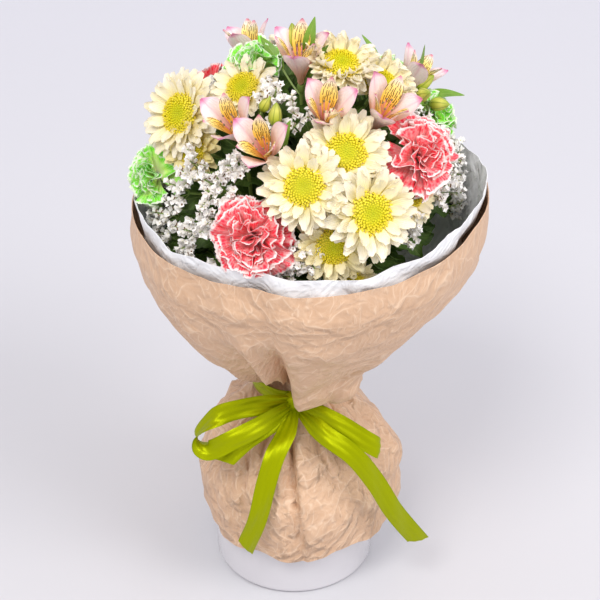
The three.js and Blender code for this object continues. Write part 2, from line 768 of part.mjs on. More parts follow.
// The green cup that a chrysanthemum's head sits in.
function mumCup(mum, margin) {
  const top = HUB_BOTTOM - GAP - 0.05 + margin;
  const low = -mum.radius * 0.45 - margin;
  return turned([[0, low], [mum.radius * 0.3 + margin, top], [0, top]], 6, bloomFrame(mum));
}

function mumStem(key, margin) {
  const owner = "chrysanthemum_stem_" + key;
  const cups = MUMS.filter(({ stem }) => stem === key).map((mum) => mumCup(mum, margin));
  const leaves = MUM_STEMS[key].leaves.flatMap((leaf) => lobedLeaf(owner, leaf, margin));
  return fused([...stemTubes(owner, margin), ...cups, ...leaves]);
}

// A chrysanthemum's disc: a low dome whose surface goes up and down in rings, as its florets do.
function mumDisc(mum, margin) {
  const radius = mum.radius * 0.43;
  const profile = [[0, DISC_BOTTOM - margin], [radius + margin, DISC_BOTTOM - margin],
    [radius * 0.78 + margin, 3.2 + margin], [radius * 0.4, 4 + margin], [0, 3 + margin]];
  const segments = 7;
  const geometry = new THREE.LatheGeometry(profile.map(([r, z]) => new THREE.Vector2(r, z)), segments);
  const position = geometry.attributes.position;
  for (let i = 0; i < position.count; i++) {
    const [turn, ring] = [Math.floor(i / profile.length) % segments, i % profile.length];
    if (ring === 2 || ring === 3) position.setY(i, position.getY(i) + ((turn + ring) % 2 ? 0.6 : -0.6));
  }
  return solidOf(geometry.rotateX(Math.PI / 2).applyMatrix4(bloomFrame(mum)));
}

// One chrysanthemum petal: a blunt outline whose edges lift, curving up from the hub by the pitch.
function mumPetal(mum, { turn, pitch, length, width, root }) {
  const shape = [[0, 0], [0.76, -1], [1, -0.45], [1, 0.45], [0.76, 1]];
  return (bend, share, margin) => {
    const frame = bloomFrame(mum, turn);
    const reach = length * share;
    const rise = (x) => root + reach * Math.tan(radians(pitch + bend)) * x * x;
    const start = mum.radius * 0.2;
    const outline = shape.map(([x, y]) =>
      new THREE.Vector3(start + reach * x, (y * width) / 2, rise(x) + Math.abs(y) * 1.1));
    const middle = new THREE.Vector3(start + reach * 0.62, 0, rise(0.62));
    return lens(outline, middle, 0.55, frame, margin);
  };
}

function mumHub(mum, margin) {
  const { radius } = mum;
  return turned([[0, HUB_BOTTOM - margin], [radius * 0.36 + margin, HUB_BOTTOM - margin],
    [radius * 0.46 + margin, -0.6], [0, HUB_TOP + margin]], 7, bloomFrame(mum));
}

function mumPetals(mum, index) {
  const { radius } = mum;
  const random = draws(100 + index);
  const large = radius > 25;
  const layers = [
    { count: large ? 9 : 7, pitch: 5, reach: 0.8, root: -2.2 },
    { count: large ? 6 : 5, pitch: 26, reach: 0.66, root: -0.9 },
  ];
  const petals = layers.flatMap(({ count, pitch, reach, root }, layer) =>
    Array.from({ length: count }, (_, i) => mumPetal(mum, {
      turn: (360 * (i + layer / 2)) / count + random(-3, 3),
      pitch: pitch + random(-4, 4),
      length: radius * reach * random(0.95, 1.03),
      width: radius * (large ? 0.46 : 0.52),
      root,
    })));
  const name = bloomName("chrysanthemum", index);
  const kept = fitted(petals, [name, name + "_disc", "chrysanthemum_stem_" + mum.stem]);
  return (margin) => fused([mumHub(mum, margin), ...kept.map((petal) => petal(margin))]);
}

// A carnation petal: a fan with a waved, notched rim, rising from the heart of the bloom at an elevation.
function carnationPetal(bloom, { turn, elevation, length, spread, waves }) {
  return (bend, share, margin) => {
    const frame = bloomFrame(bloom, turn);
    frame.multiply(new THREE.Matrix4().makeTranslation(0, 0, -bloom.radius * 0.28));
    frame.multiply(new THREE.Matrix4().makeRotationY(-radians(elevation + bend)));
    const reach = length * share;
    const rim = waves.map((wave, i) => {
      const angle = radians(spread * ((2 * i) / (waves.length - 1) - 1));
      const out = reach * (i % 2 ? 0.88 : 1);
      return new THREE.Vector3(out * Math.cos(angle), out * Math.sin(angle), wave * reach);
    });
    const root = new THREE.Vector3(bloom.radius * 0.2, 0, 0);
    const middle = new THREE.Vector3(reach * 0.66, 0, 0);
    return lens([root, ...rim], middle, 0.6, frame, margin);
  };
}

// The middle of a carnation. A pink one sits just above its calyx, and a green one is sunk into it.
function carnationHeart(bloom, margin) {
  const { radius } = bloom;
  const bottom = calyxTop(radius) + (bloom.name.includes("pink") ? GAP + 0.05 : -1) - margin;
  return turned([[0, bottom], [radius * 0.2 + margin, bottom], [radius * 0.4 + margin, -radius * 0.05],
    [0, radius * 0.14 + margin]], 6, bloomFrame(bloom));
}

function carnationPetals(bloom, index) {
  const { radius } = bloom;
  const random = draws(500 + index);
  const layers = [
    { count: radius > 25 ? 6 : 5, elevation: 16, reach: 1, spread: 28 },
    { count: radius > 25 ? 4 : 3, elevation: 40, reach: 0.94, spread: 38 },
    { count: 3, elevation: 66, reach: 0.84, spread: 38 },
  ];
  const petals = layers.flatMap(({ count, elevation, reach, spread }, layer) =>
    Array.from({ length: count }, (_, i) => carnationPetal(bloom, {
      turn: (360 * (i + layer / 2)) / count + random(-1.5, 1.5),
      elevation: elevation + random(-3, 3),
      length: radius * reach * random(0.94, 1.02),
      spread,
      waves: Array.from({ length: 4 }, (__, k) => (k % 2 ? 1 : -1) * random(0.05, 0.12)),
    })));
  const name = "carnation_" + bloom.name;
  const kept = fitted(petals, [name, name + "_stem"]);
  return (margin) => fused([carnationHeart(bloom, margin), ...kept.map((petal) => petal(margin))]);
}

// A carnation's stem with its calyx, a tall cup under the petals.
function calyxTop(radius) {
  return -radius * 0.42;
}

function carnationStem(bloom, margin) {
  const { radius } = bloom;
  const [top, low] = [calyxTop(radius) + margin, -radius * 1.05 - margin];
  const profile = [[0, low], [3 + margin, low], [radius * 0.24 + margin, top], [0, top]];
  const calyx = turned(profile, 6, bloomFrame(bloom));
  return fused([...stemTubes("carnation_" + bloom.name, margin), calyx]);
}

function lilyFrame(lily, turn) {
  return frameAt(domePoint(lily.at), lilyAxis(lily), turn);
}

// Six tepals in two whorls that open as a funnel: three broad outer ones and three narrow inner ones.
function lilyBloom(lily, index) {
  const { radius } = lily;
  const outer = [[0.05, -1.05, 0, 0], [0.27, -0.5, 0.12, 0.02], [0.62, 0.15, 0.42, 0.06], [1.02, 0.72, 0, 0]];
  const inner = [[0.03, -1, 0, 0], [0.17, -0.45, 0.07, 0.01], [0.36, 0.3, 0.27, 0.06], [0.66, 0.86, 0, 0]];
  const random = draws(700 + index);
  const tepal = (spine, turn, size) => (bend, share, margin) => {
    const frame = lilyFrame(lily, turn);
    const lean = 1 - bend / 60;
    const scaled = spine.map(([x, z, half, edge]) => [
      x * size * lean * share, z * size, half * size * share, edge * size]);
    return blade(scaled, 0.55, frame, margin);
  };
  const whorl = (spine, first) => [0, 120, 240].map((turn) =>
    tepal(spine, turn + first + random(-6, 6), radius * random(0.95, 1.02)));
  const tepals = [...whorl(outer, 15), ...whorl(inner, 75)];
  const kept = fitted(tepals, [bloomName("alstroemeria", index), "alstroemeria_stem_" + lily.stem]);
  return (margin) => fused([lilyHeart(lily, margin), ...kept.map((petal) => petal(margin))]);
}

// The foot that an alstroemeria's tepals grow from, on top of its ovary
function lilyHeart(lily, margin) {
  const { radius } = lily;
  const bottom = ovaryTop(radius) + GAP + 0.05 - margin;
  return turned([[0, bottom], [2.4 + margin, bottom], [radius * 0.14 + margin, -radius * 0.7],
    [0, -radius * 0.5 + margin]], 4, lilyFrame(lily, 0));
}

function ovaryTop(radius) {
  return -radius * 1.02;
}

function lilyStem(key, margin) {
  const owner = "alstroemeria_stem_" + key;
  const { leaves, buds } = LILY_STEMS[key];
  const ovaries = LILIES.filter(({ stem }) => stem === key).map((lily) => {
    const { radius } = lily;
    const [top, low] = [ovaryTop(radius) + margin, -radius * 1.4 - margin];
    return turned([[0, low], [1.6 + margin, low], [2.8 + margin, top], [0, top]], 5, lilyFrame(lily, 0));
  });
  return fused([
    ...stemTubes(owner, margin),
    ...ovaries,
    ...leaves.flatMap((leaf) => lanceLeaf(owner, leaf, margin)),
    ...buds.flatMap((place) => bud(owner, place, margin)),
  ]);
}

// Statice florets: narrow papery funnels that spread from the tip of a twig, each fitted among the others.
function staticeSpray(key) {
  const owner = "statice_" + key;
  const random = draws(900 + STATICE[key].slot[1]);
  const florets = STATICE[key].clusters.flatMap(([azimuth, latitude, lift, reach]) => {
    const at = [azimuth, latitude, lift];
    const foot = domePoint(at).addScaledVector(domeNormal(at), -reach);
    const outer = Array.from({ length: 3 }, (_, i) => [120 * i + random(-12, 12), random(36, 56)]);
    return [...outer, [random(0, 360), random(0, 14)]].map(([turn, lean]) => (bend, share, margin) => {
      const frame = frameAt(foot, domeNormal(at), turn);
      frame.multiply(new THREE.Matrix4().makeRotationY(radians(lean + bend)));
      const long = reach * share;
      const funnel = [[0, 0.4 - margin], [4.2 + margin, long + margin], [0, long * 0.8 + margin]];
      return turned(funnel, 3, frame);
    });
  });
  const kept = fitted(florets, []);
  return (margin) => {
    const knots = STATICE[key].clusters.map(([azimuth, latitude, lift, reach]) => {
      const at = [azimuth, latitude, lift];
      const foot = domePoint(at).addScaledVector(domeNormal(at), -reach);
      return solidOf(new THREE.OctahedronGeometry(4.4 + margin).translate(foot.x, foot.y, foot.z));
    });
    return fused([...stemTubes(owner, margin), ...knots, ...kept.map((floret) => floret(margin))]);
  };
}

function bloomName(kind, index) {
  return kind + "_" + String(index + 1).padStart(2, "0");
}

// Holder, wrapper and ties
place("vase", vase, "glaze");
place("stem_binding", (margin) => {
  const [bottom, top] = [TIE_LEVEL - BINDING_HEIGHT / 2 - margin, TIE_LEVEL + BINDING_HEIGHT / 2 + margin];
  const [inner, outer] = [BINDING_INNER - margin, BINDING_OUTER + margin];
  return turned([[inner, bottom], [outer, bottom], [outer, top], [inner, top], [inner, bottom]], 18);
}, "tape");
place("kraft_wrapper", kraftWrapper, "kraft");
place("tissue_liner", tissueLiner, "tissue");
place("ribbon_bow", ribbonBow, "satin");

// Discs first, then what is green, then the petals, which are fitted in between
MUMS.forEach((mum, i) => hearts.set(bloomName("chrysanthemum", i), mumHub(mum, GAP)));
CARNATIONS.forEach((bloom) => hearts.set("carnation_" + bloom.name, carnationHeart(bloom, GAP)));
LILIES.forEach((lily, i) => hearts.set(bloomName("alstroemeria", i), lilyHeart(lily, GAP)));
MUMS.forEach((mum, i) => {
  place(bloomName("chrysanthemum", i) + "_disc", (margin) => mumDisc(mum, margin), "yellow");
});
for (const key of Object.keys(MUM_STEMS)) {
  place("chrysanthemum_stem_" + key, (margin) => mumStem(key, margin), "leaf");
}
for (const bloom of CARNATIONS.filter(({ name }) => name.startsWith("pink"))) {
  place("carnation_" + bloom.name + "_stem", (margin) => carnationStem(bloom, margin), "leaf");
}
for (const key of Object.keys(LILY_STEMS)) {
  place("alstroemeria_stem_" + key, (margin) => lilyStem(key, margin), "leaf");
}
CARNATIONS.forEach((bloom, i) => {
  const name = "carnation_" + bloom.name;
  if (name.includes("pink")) {
    place(name + "_petals", carnationPetals(bloom, i), "coral");
    return;
  }
  const petals = carnationPetals(bloom, i);
  place(name, (margin) => carnationStem(bloom, margin).add(petals(margin)), "lime");
});
MUMS.forEach((mum, i) => place(bloomName("chrysanthemum", i) + "_petals", mumPetals(mum, i), "cream"));
LILIES.forEach((lily, i) => place(bloomName("alstroemeria", i) + "_bloom", lilyBloom(lily, i), "blush"));
for (const key of Object.keys(STATICE)) place("statice_" + key, staticeSpray(key), "papery");

export default bouquet;
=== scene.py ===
"""A mixed bouquet in kraft paper and tissue, tied with a satin ribbon and standing in a round white vase.

Points are worked out in millimetres. The origin is the centre of the vase's foot, +Z is up and -Y is the
front.
"""
import math

import bpy
import numpy as np
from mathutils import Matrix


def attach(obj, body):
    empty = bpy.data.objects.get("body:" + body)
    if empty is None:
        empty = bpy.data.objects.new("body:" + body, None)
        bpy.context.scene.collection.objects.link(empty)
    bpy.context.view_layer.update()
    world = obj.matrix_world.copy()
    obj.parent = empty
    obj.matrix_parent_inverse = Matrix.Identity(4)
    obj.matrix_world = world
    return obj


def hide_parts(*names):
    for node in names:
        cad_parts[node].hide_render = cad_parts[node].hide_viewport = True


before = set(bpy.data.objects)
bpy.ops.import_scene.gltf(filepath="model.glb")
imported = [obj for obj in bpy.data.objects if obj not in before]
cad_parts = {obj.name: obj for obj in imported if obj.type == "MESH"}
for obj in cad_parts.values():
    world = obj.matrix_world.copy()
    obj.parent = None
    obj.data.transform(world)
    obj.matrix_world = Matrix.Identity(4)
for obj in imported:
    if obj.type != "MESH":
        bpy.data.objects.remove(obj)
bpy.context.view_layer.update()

# Camera: it stands about a metre in front of the bouquet and above it, and looks down at the blooms.
camera = bpy.data.objects.new("camera", bpy.data.cameras.new("camera"))
camera.location = (0.00485, -0.998, 0.892)
camera.rotation_euler = (math.radians(57.3), 0, 0)
camera.data.lens = 90
bpy.context.scene.collection.objects.link(camera)
bpy.context.scene.camera = camera
bpy.context.scene.view_settings.view_transform = "Standard"


# Studio floor and backdrop: one roll of pale lavender paper, which lies on the table, runs back and curves up
# behind the bouquet. It is only the stage.
def colour(red, green, blue):
    """The linear colour of a screen colour, given in 0 to 255: each channel to the power of 2.2."""
    return tuple((channel / 255) ** 2.2 for channel in (red, green, blue)) + (1,)


def node(tree, kind, wires=None, **settings):
    """A new shader node with its settings, each input in wires filled with a value or joined to an output."""
    made = tree.nodes.new("ShaderNode" + kind)
    for key, value in settings.items():
        setattr(made, key, value)
    for key, value in (wires or {}).items():
        if isinstance(value, bpy.types.NodeSocket):
            tree.links.new(value, made.inputs[key])
        else:
            made.inputs[key].default_value = value
    return made


def finish(name, **values):
    """A new material's tree and its Principled shader, with values on the shader's own inputs."""
    material = bpy.data.materials.new(name)
    material.use_nodes = True
    shader = material.node_tree.nodes["Principled BSDF"]
    for key, value in values.items():
        shader.inputs[key.replace("_", " ")].default_value = value
    return material, material.node_tree, shader


def mixed(tree, share, first, second):
    """The colour between two colours at a share from 0 to 1."""
    return node(tree, "Mix", {0: share, 6: first, 7: second}, data_type="RGBA").outputs[2]


def reckon(tree, operation, first, second=0.0):
    """The result of one sum on two values or outputs."""
    return node(tree, "Math", {0: first, 1: second}, operation=operation).outputs[0]


def own_place(tree):
    """A point's place in space on its piece, in metres."""
    return node(tree, "TexCoord").outputs["Object"]


def noise(tree, place, scale, detail):
    """A noise from 0 to 1 over a place, at a scale and with a detail."""
    return node(tree, "TexNoise", {"Vector": place, "Scale": scale, "Detail": detail}).outputs["Fac"]


def triples(first, second, third):
    """Three values for each point, spread over one shape and set side by side."""
    return np.stack(np.broadcast_arrays(first, second, third), -1)


def grid_faces(rows, columns, closed=False):
    """Quads of a grid counted row by row. They face along the product of row and column steps."""
    row, column = np.mgrid[0:rows - 1, 0:columns if closed else columns - 1]
    after = (column + 1) % columns
    start = row * columns
    end = start + columns
    return np.stack([start + column, end + column, end + after, start + after], -1).reshape(-1, 4)


def put(name, shapes, looks, slot, nodes=(), sharp=60):
    """One mesh object in metres from shapes, riding on the root and standing for the nodes.

    A shape is its points, a list of index arrays for its faces, the three values for each point that its
    material reads as the attribute "lay", and the number of its material.
    """
    points, lays, faces, numbers, start = [], [], [], [], 0
    for own, blocks, lay, number in shapes:
        own = own.reshape(-1, 3)
        points.append(own)
        lays.append(np.broadcast_to(lay, own.shape) if np.ndim(lay) == 1 else lay.reshape(-1, 3))
        for block in blocks:
            faces += (block + start).tolist()
            numbers.append(np.full(len(block), number))
        start += len(own)
    mesh = bpy.data.meshes.new(name)
    mesh.from_pydata((np.concatenate(points) * 0.001).tolist(), [], faces)
    mesh.polygons.foreach_set("material_index", np.concatenate(numbers))
    mesh.polygons.foreach_set("use_smooth", np.ones(len(faces), bool))
    attribute = mesh.attributes.new("lay", "FLOAT_VECTOR", "POINT")
    attribute.data.foreach_set("vector", np.concatenate(lays).ravel())
    mesh.set_sharp_from_angle(angle=math.radians(sharp))
    for look in looks:
        mesh.materials.append(look)
    piece = bpy.data.objects.new(name, mesh)
    bpy.context.scene.collection.objects.link(piece)
    if slot:
        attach(piece, "root")
    if nodes:
        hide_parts(*nodes)
    return piece


def backdrop_points():
    """Floor profile: flat, then a quarter circle of 1.5 m radius, then upright, swept sideways."""
    turn = np.linspace(0, math.pi / 2, 16)
    back = np.concatenate([[-3500, 0], 2500 + 1500 * np.sin(turn), [4000]])
    up = np.concatenate([[0, 0], 1500 - 1500 * np.cos(turn), [4500]])
    side = np.linspace(-4500, 4500, 3)
    return triples(side[None], back[:, None], up[:, None])


backdrop_look, tree, shader = finish("backdrop_paper", Roughness=0.9, Specular_IOR_Level=0.1)
place = own_place(tree)
depth = node(tree, "SeparateXYZ", {"Vector": place}).outputs["Y"]
away = node(tree, "MapRange", {"Value": depth, "From Min": -0.4, "From Max": 1.4}).outputs["Result"]
mottle = noise(tree, place, 1.5, 2.0)
# Painted shade: the paper is darker on the floor towards the front, and at its lightest from 1.4 m back and
# up the curve. The mottle is the paper's own.
tint_with_painted_shade = mixed(tree, away, colour(203, 202, 205), colour(234, 233, 239))
tint_with_painted_shade = mixed(tree, reckon(tree, "MULTIPLY", mottle, 0.06), tint_with_painted_shade, colour(200, 198, 206))
tree.links.new(tint_with_painted_shade, shader.inputs["Base Color"])
sweep = backdrop_points()
sweep_faces = grid_faces(*sweep.shape[:2])[:, ::-1]
backdrop = put("backdrop", [(sweep, [sweep_faces], (0, 0, 0), 0)], [backdrop_look], None)


# Studio light: a wide soft key from the front left, a fill from the right, and a pale room round them. The
# powers are in watts, and the colours are close to white.
def soft_box(name, place, size, power, shade):
    """A square area light at a place in metres, turned to the middle of the bouquet."""
    lamp = bpy.data.lights.new(name, "AREA")
    lamp.size = size
    lamp.energy = power
    lamp.color = shade
    stand = bpy.data.objects.new(name, lamp)
    stand.location = place
    aim = np.array([0, 0, 0.28]) - place
    stand.rotation_euler = (math.acos(-aim[2] / np.linalg.norm(aim)), 0, math.atan2(-aim[0], aim[1]))
    bpy.context.scene.collection.objects.link(stand)


soft_box("key_light", (-0.6, -1.35, 2.2), 0.9, 29, (1, 0.985, 0.96))
soft_box("fill_light", (1.4, -1.0, 1.7), 1.0, 22, (0.99, 0.99, 1))
room = bpy.data.worlds.new("room")
room.use_nodes = True
room.node_tree.nodes["Background"].inputs["Color"].default_value = (0.96, 0.955, 1, 1)
room.node_tree.nodes["Background"].inputs["Strength"].default_value = 0.78
bpy.context.scene.world = room


# Vase: a straight round vase of white glazed earthenware, thrown with a wall, a flat floor and soft edges. It
# stands on its flat foot, the stems stand on its floor, and the paper skirt hangs over its rim.
def even_angles(count):
    """Even angles round a circle, from 0."""
    return 2 * math.pi * np.arange(count) / count


def rings_of(profile, sides):
    """A profile of radius and height turned about Z: points by ring, and the faces with a cap at each end."""
    radius, height = np.array(profile, float).T[..., None]
    angle = even_angles(sides)
    points = triples(radius * np.cos(angle), radius * np.sin(angle), height)
    ring = np.arange(sides)
    caps = [ring[None, ::-1], ring[None] + (len(profile) - 1) * sides]
    return points, [grid_faces(len(profile), sides, closed=True)[:, ::-1], *caps]


def rounded_corner(radius, height, size, start, steps=5):
    """Points on a quarter circle of a size about a centre, anticlockwise from a start angle in degrees."""
    turn = np.radians(start + np.linspace(0, 90, steps))
    return list(zip(radius + size * np.cos(turn), height + size * np.sin(turn)))


def bumped(tree, shader, height, strength, distance):
    """Joins a height to the shader's normal, at a strength and with a depth in metres."""
    bump = node(tree, "Bump", {"Height": height, "Strength": strength, "Distance": distance})
    tree.links.new(bump.outputs["Normal"], shader.inputs["Normal"])


VASE_RADIUS, VASE_HEIGHT, VASE_WALL, VASE_FLOOR = 67.4, 115, 3.5, 6
glaze_look, tree, shader = finish("white_glaze", Roughness=0.16, Coat_Weight=0.6, Coat_Roughness=0.06)
place = own_place(tree)
cloud = noise(tree, place, 14.0, 3.0)
shade = mixed(tree, cloud, colour(220, 217, 220), colour(211, 208, 212))
tree.links.new(shade, shader.inputs["Base Color"])
bumped(tree, shader, noise(tree, place, 38.0, 2.0), 0.05, 0.002)
vase_profile = [(VASE_RADIUS - 7, 0.6), (VASE_RADIUS - 6, 0)]
vase_profile += rounded_corner(VASE_RADIUS - 5, 5, 5, -90)
lip = VASE_WALL / 2
for start in (0, 90):
    vase_profile += rounded_corner(VASE_RADIUS - lip, VASE_HEIGHT - lip, lip, start)
vase_profile += [(VASE_RADIUS - VASE_WALL, VASE_FLOOR + 3), (VASE_RADIUS - VASE_WALL - 3, VASE_FLOOR)]
vase_points, vase_faces = rings_of(vase_profile, 96)
put("glazed_vase", [(vase_points, vase_faces, (0, 0, 0), 0)], [glaze_look], "glaze", ["vase"], sharp=70)

# Binding: florist's paper tape, wound tight round the stems at the neck to hold the bunch. The wrapper hides
# it, so its solid stays and only gets a finish.
tape_look, tree, shader = finish("florist_tape", Roughness=0.75)
place = own_place(tree)
windings = node(tree, "TexWave", {"Vector": place, "Scale": 70.0, "Distortion": 1.5}, bands_direction="Z")
shade = mixed(tree, windings.outputs["Fac"], colour(150, 148, 110), colour(201, 196, 168))
tree.links.new(shade, shader.inputs["Base Color"])
bumped(tree, shader, windings.outputs["Fac"], 0.4, 0.001)
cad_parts["stem_binding"].data.materials.clear()
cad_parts["stem_binding"].data.materials.append(tape_look)

# Kraft wrapper: one sheet of brown paper, gathered hard at the neck. It opens as a cone above and hangs over
# the vase as a skirt below. It was crumpled first, so it is faceted all over, with sharp pale creases. A row
# is a height, a radius and a depth of pleats.
KRAFT_ROWS = [(52, 81.5, 1.4), (98, 84.5, 1.6), (142, 64, 3.6), (174, 27.7, 5.3), (189, 27.7, 5.3),
              (204, 52, 5), (236, 91, 3), (284, 124, 1.6), (318, 135.5, 1), (341, 134, 0.8)]
KRAFT_THICKNESS = 0.6
TIE_LEVEL, BAND_INNER = 181.5, 33.8


def rows_of(table, count):
    """The table's columns at even steps of the sheet's length, each value the mean of three steps."""
    table = np.array(table, float)
    length = np.concatenate([[0], np.cumsum(np.hypot(*np.diff(table[:, :2], axis=0).T))])
    rows = np.stack([np.interp(np.linspace(0, length[-1], count), length, column) for column in table.T])
    rows[:, 1:-1] = (rows[:, :-2] + rows[:, 1:-1] + rows[:, 2:]) / 3
    return rows[..., None]


def zigzag(turns):
    """A wave of straight lines between -1 and 1, once for each whole turn."""
    return np.abs(turns % 1 - 0.5) * 4 - 1


def crumple(points, seed, pitch):
    """Heights of crumpled paper: the sum of zigzags along random directions.

    Straight-sided waves add up to flat facets between sharp folds. Slow sine waves bend each zigzag's folds
    and let them fade in and out over the sheet.
    """
    random = np.random.default_rng(seed)
    total = np.zeros(points.shape[:-1])
    for _ in range(14):
        direction, bend, fade = random.normal(size=(3, 3))
        step = pitch * random.uniform(0.55, 1.7)
        turns = points @ direction / np.linalg.norm(direction) / step
        turns = turns + 0.4 * np.sin(points @ bend / (1.7 * pitch) + random.uniform(0, 6))
        fading = 0.5 + 0.5 * np.sin(points @ fade / (1.5 * pitch) + random.uniform(0, 6))
        total += zigzag(turns) * fading ** 2
    return total / 4


def unit(vectors):
    """Vectors of length 1."""
    return vectors / np.maximum(np.linalg.norm(vectors, axis=-1, keepdims=True), 1e-9)


def near(value, middle, width):
    """A bell curve: 1 at the middle, falling off over the width."""
    return np.exp(-((value - middle) / width) ** 2)


def lean(height):
    """The bouquet's middle line in X: it leans to the right above the neck and under the skirt."""
    below = np.interp(height, [60, 150], [5, 0])
    above = np.interp(height, [212, 330], [0, 11])
    return np.where(height < 200, below, above)


def sheet_ring(angle, reach, height, thickness, lay):
    """A ring of sheet, closed all round: its middle surface moved half the thickness to both sides."""
    x = lean(height) + reach * np.cos(angle)
    middle = triples(x, reach * np.sin(angle), height)
    rows, columns = middle.shape[:2]
    along = np.gradient(middle, axis=0)
    across = np.roll(middle, -1, 1) - np.roll(middle, 1, 1)
    out = np.cross(across, along)
    out *= thickness / 2 / np.linalg.norm(out, axis=-1, keepdims=True)
    faces = grid_faces(rows, columns, closed=True)
    start = rows * columns
    ring = np.arange(columns)
    after = np.roll(ring, -1)
    top = start - columns
    hem = np.stack([ring, ring + start, after + start, after], 1)
    rim = np.stack([ring, after, after + start, ring + start], 1) + top
    points = np.concatenate([middle + out, middle - out])
    return points, [faces[:, ::-1], faces + start, hem, rim], np.concatenate([lay, lay]), 0


def pleats(height, angle, seed, side, chosen, count):
    """How deep V-shaped pleats go in that run out from the tie, above it (side 1) or below it (-1).

    A pleat has a place round the neck, a twist with the height, a length over which it fades, a depth, and a
    width in radians to each side. The chosen ones come first, and the rest lie at random places.
    """
    random = np.random.default_rng(seed)
    away = side * (height - TIE_LEVEL)
    rest = np.stack([
        random.uniform(0, 6.283, count), random.normal(0, 0.002, count), random.uniform(16, 62, count),
        random.uniform(2, 6, count), *random.uniform(0.05, 0.16, (2, count)),
    ], 1)
    total = 0
    for place, twist, length, depth, left, right in np.vstack([chosen, rest]):
        off = (angle - place - twist * away + math.pi) % (2 * math.pi) - math.pi
        width = np.where(off < 0, left, right)
        total = total + depth * near(away, 0, length) * np.clip(1 - np.abs(off) / width, 0, 1)
    return total * np.clip((away - 5) / 8, 0, 1)


def kraft_surface(height, radius, pleat, angle):
    """Reach and level of the kraft sheet.

    They are its rows' radius and pleats and a lobe that hangs over the tie at the front right, pushed along
    the surface's own normal by folds, slow swells, wrinkles and crumples.
    """
    turn = (angle + 1.57 + math.pi) % (2 * math.pi) - math.pi
    slow = np.sin(3 * angle + 0.6) + 0.7 * np.sin(5 * angle + 2.1)
    end = 0.5 + 0.5 * np.cos(math.pi * np.clip((turn - 0.42) / 0.8, 0, 1))
    lobe = np.clip((turn + 0.2) / 0.2, 0, 1) * (0.55 + 0.75 * near(turn, 0.66, 0.5)) * end
    reach = radius + np.where(radius > 60, 1.3, 0) * slow + pleat * np.cos(8 * angle)
    reach = reach + (17 * lobe + 3 * near(turn, -0.8, 0.4)) * near(height, 206, 13)
    reach = reach - 7 * near(height, 222, 16) * near(turn, -1.3, 0.5)
    drop = 8 * lobe ** 1.5 * near(height, 201, 11)
    cone_folds = [(-1.6, -0.0014, 100, 20, 0.17, 0.07), (-1.5, -0.0008, 100, -6, 0.07, 0.45),
                  (-1.68, -0.0025, 100, -5, 0.06, 0.08), (-1.75, -0.0028, 95, 12, 0.22, 0.08),
                  (-1.67, -0.001, 80, 6, 0.03, 0.04), (-1.73, -0.0018, 70, -4, 0.03, 0.03),
                  (-2.02, -0.004, 80, 6, 0.12, 0.07), (-2.3, -0.005, 80, 5, 0.1, 0.1),
                  (-1.2, 0.003, 60, 3, 0.1, 0.06), (-0.85, 0.002, 80, 3, 0.12, 0.08),
                  (-0.45, 0.002, 80, 4, 0.12, 0.1)]
    skirt_folds = [(-1.62, 0.0006, 110, 12, 0.14, 0.05), (-1.75, 0, 80, -4, 0.12, 0.06),
                   (-2.3, 0.002, 70, 11, 0.12, 0.06), (-2.52, 0.003, 70, 10, 0.1, 0.06),
                   (-2.1, 0.001, 60, 9, 0.08, 0.08), (-2.8, 0.003, 80, 9, 0.1, 0.1),
                   (-1.3, 0.003, 60, 5, 0.1, 0.06), (-0.95, 0, 60, 7, 0.12, 0.08),
                   (-0.55, -0.003, 90, 9, 0.15, 0.1)]
    push = -pleats(height, angle, 31, 1, cone_folds, 16) - pleats(height, angle, 32, -1, skirt_folds, 20)
    aside = (angle + 0.1 + math.pi) % (2 * math.pi) - math.pi
    push = push + (5 * near(height, 292, 10) - 3 * near(height, 268, 9)) * near(aside, 0, 0.3)
    push = push + (5 * near(height, 112, 12) - 4 * near(height, 88, 9)) * near(aside, 0, 0.4)
    level_lines = zigzag(height / 8 + 0.9 * np.sin(2.3 * angle) + 0.3 * np.sin(7 * angle))
    push = push + 0.8 * level_lines * near(height, 308, 16) * near(turn, 0.1, 0.75)
    long_lines = zigzag((height - 62 * angle) / 24 + 0.3 * np.sin(5 * angle))
    push = push + 0.8 * long_lines * near(height, 262, 30) * near(turn, 0.9, 0.7)
    place = triples(reach * np.cos(angle), reach * np.sin(angle), height)
    skirt = np.clip((172 - height) / 16, 0, 1)
    cone = np.clip((height - 192) / 20, 0, 1)
    calm = 1 - 0.6 * np.clip((height - 285) / 40, 0, 1)
    push = push + crumple(place, 3, 46) * (2.8 * skirt + 1.7 * cone * calm)
    push = push + crumple(place, 8, 19) * (1.6 * skirt + 0.7 * cone * calm)
    rising = unit(np.stack([np.gradient(radius[:, 0]), np.gradient(height[:, 0])], -1))
    tie = np.abs(height - TIE_LEVEL) < 7.2
    push = np.where(tie, 0, push)
    reach = np.where(tie, np.minimum(reach, BAND_INNER - 0.7), reach + push * rising[:, 1:])
    return reach, height - np.where(tie, 0, drop) - push * rising[:, :1]


def kraft_ring(columns=290, rows=106):
    """The kraft sheet: rows of the surface above, with a rim that rises on the right and a wavy hem."""
    height, radius, pleat = rows_of(KRAFT_ROWS, rows)
    angle = even_angles(columns)
    reach, level = kraft_surface(height, radius, pleat, angle)
    rise = 11 * np.maximum(0, np.cos(angle - 0.3)) ** 2 * np.clip((height - 318) / 23, 0, 1)
    drop = (3 * np.sin(3 * angle + 1) + 2 * np.sin(7 * angle)) * np.clip((98 - height) / 46, 0, 1)
    place = triples(reach * np.cos(angle), reach * np.sin(angle), height)
    level = level + rise - drop + crumple(place, 5, 34) * 1.6 * np.clip((height - 318) / 23, 0, 1)
    lay = triples(angle / 6.283, height / 341, 0 * angle)
    return sheet_ring(angle, reach, level, KRAFT_THICKNESS, lay)


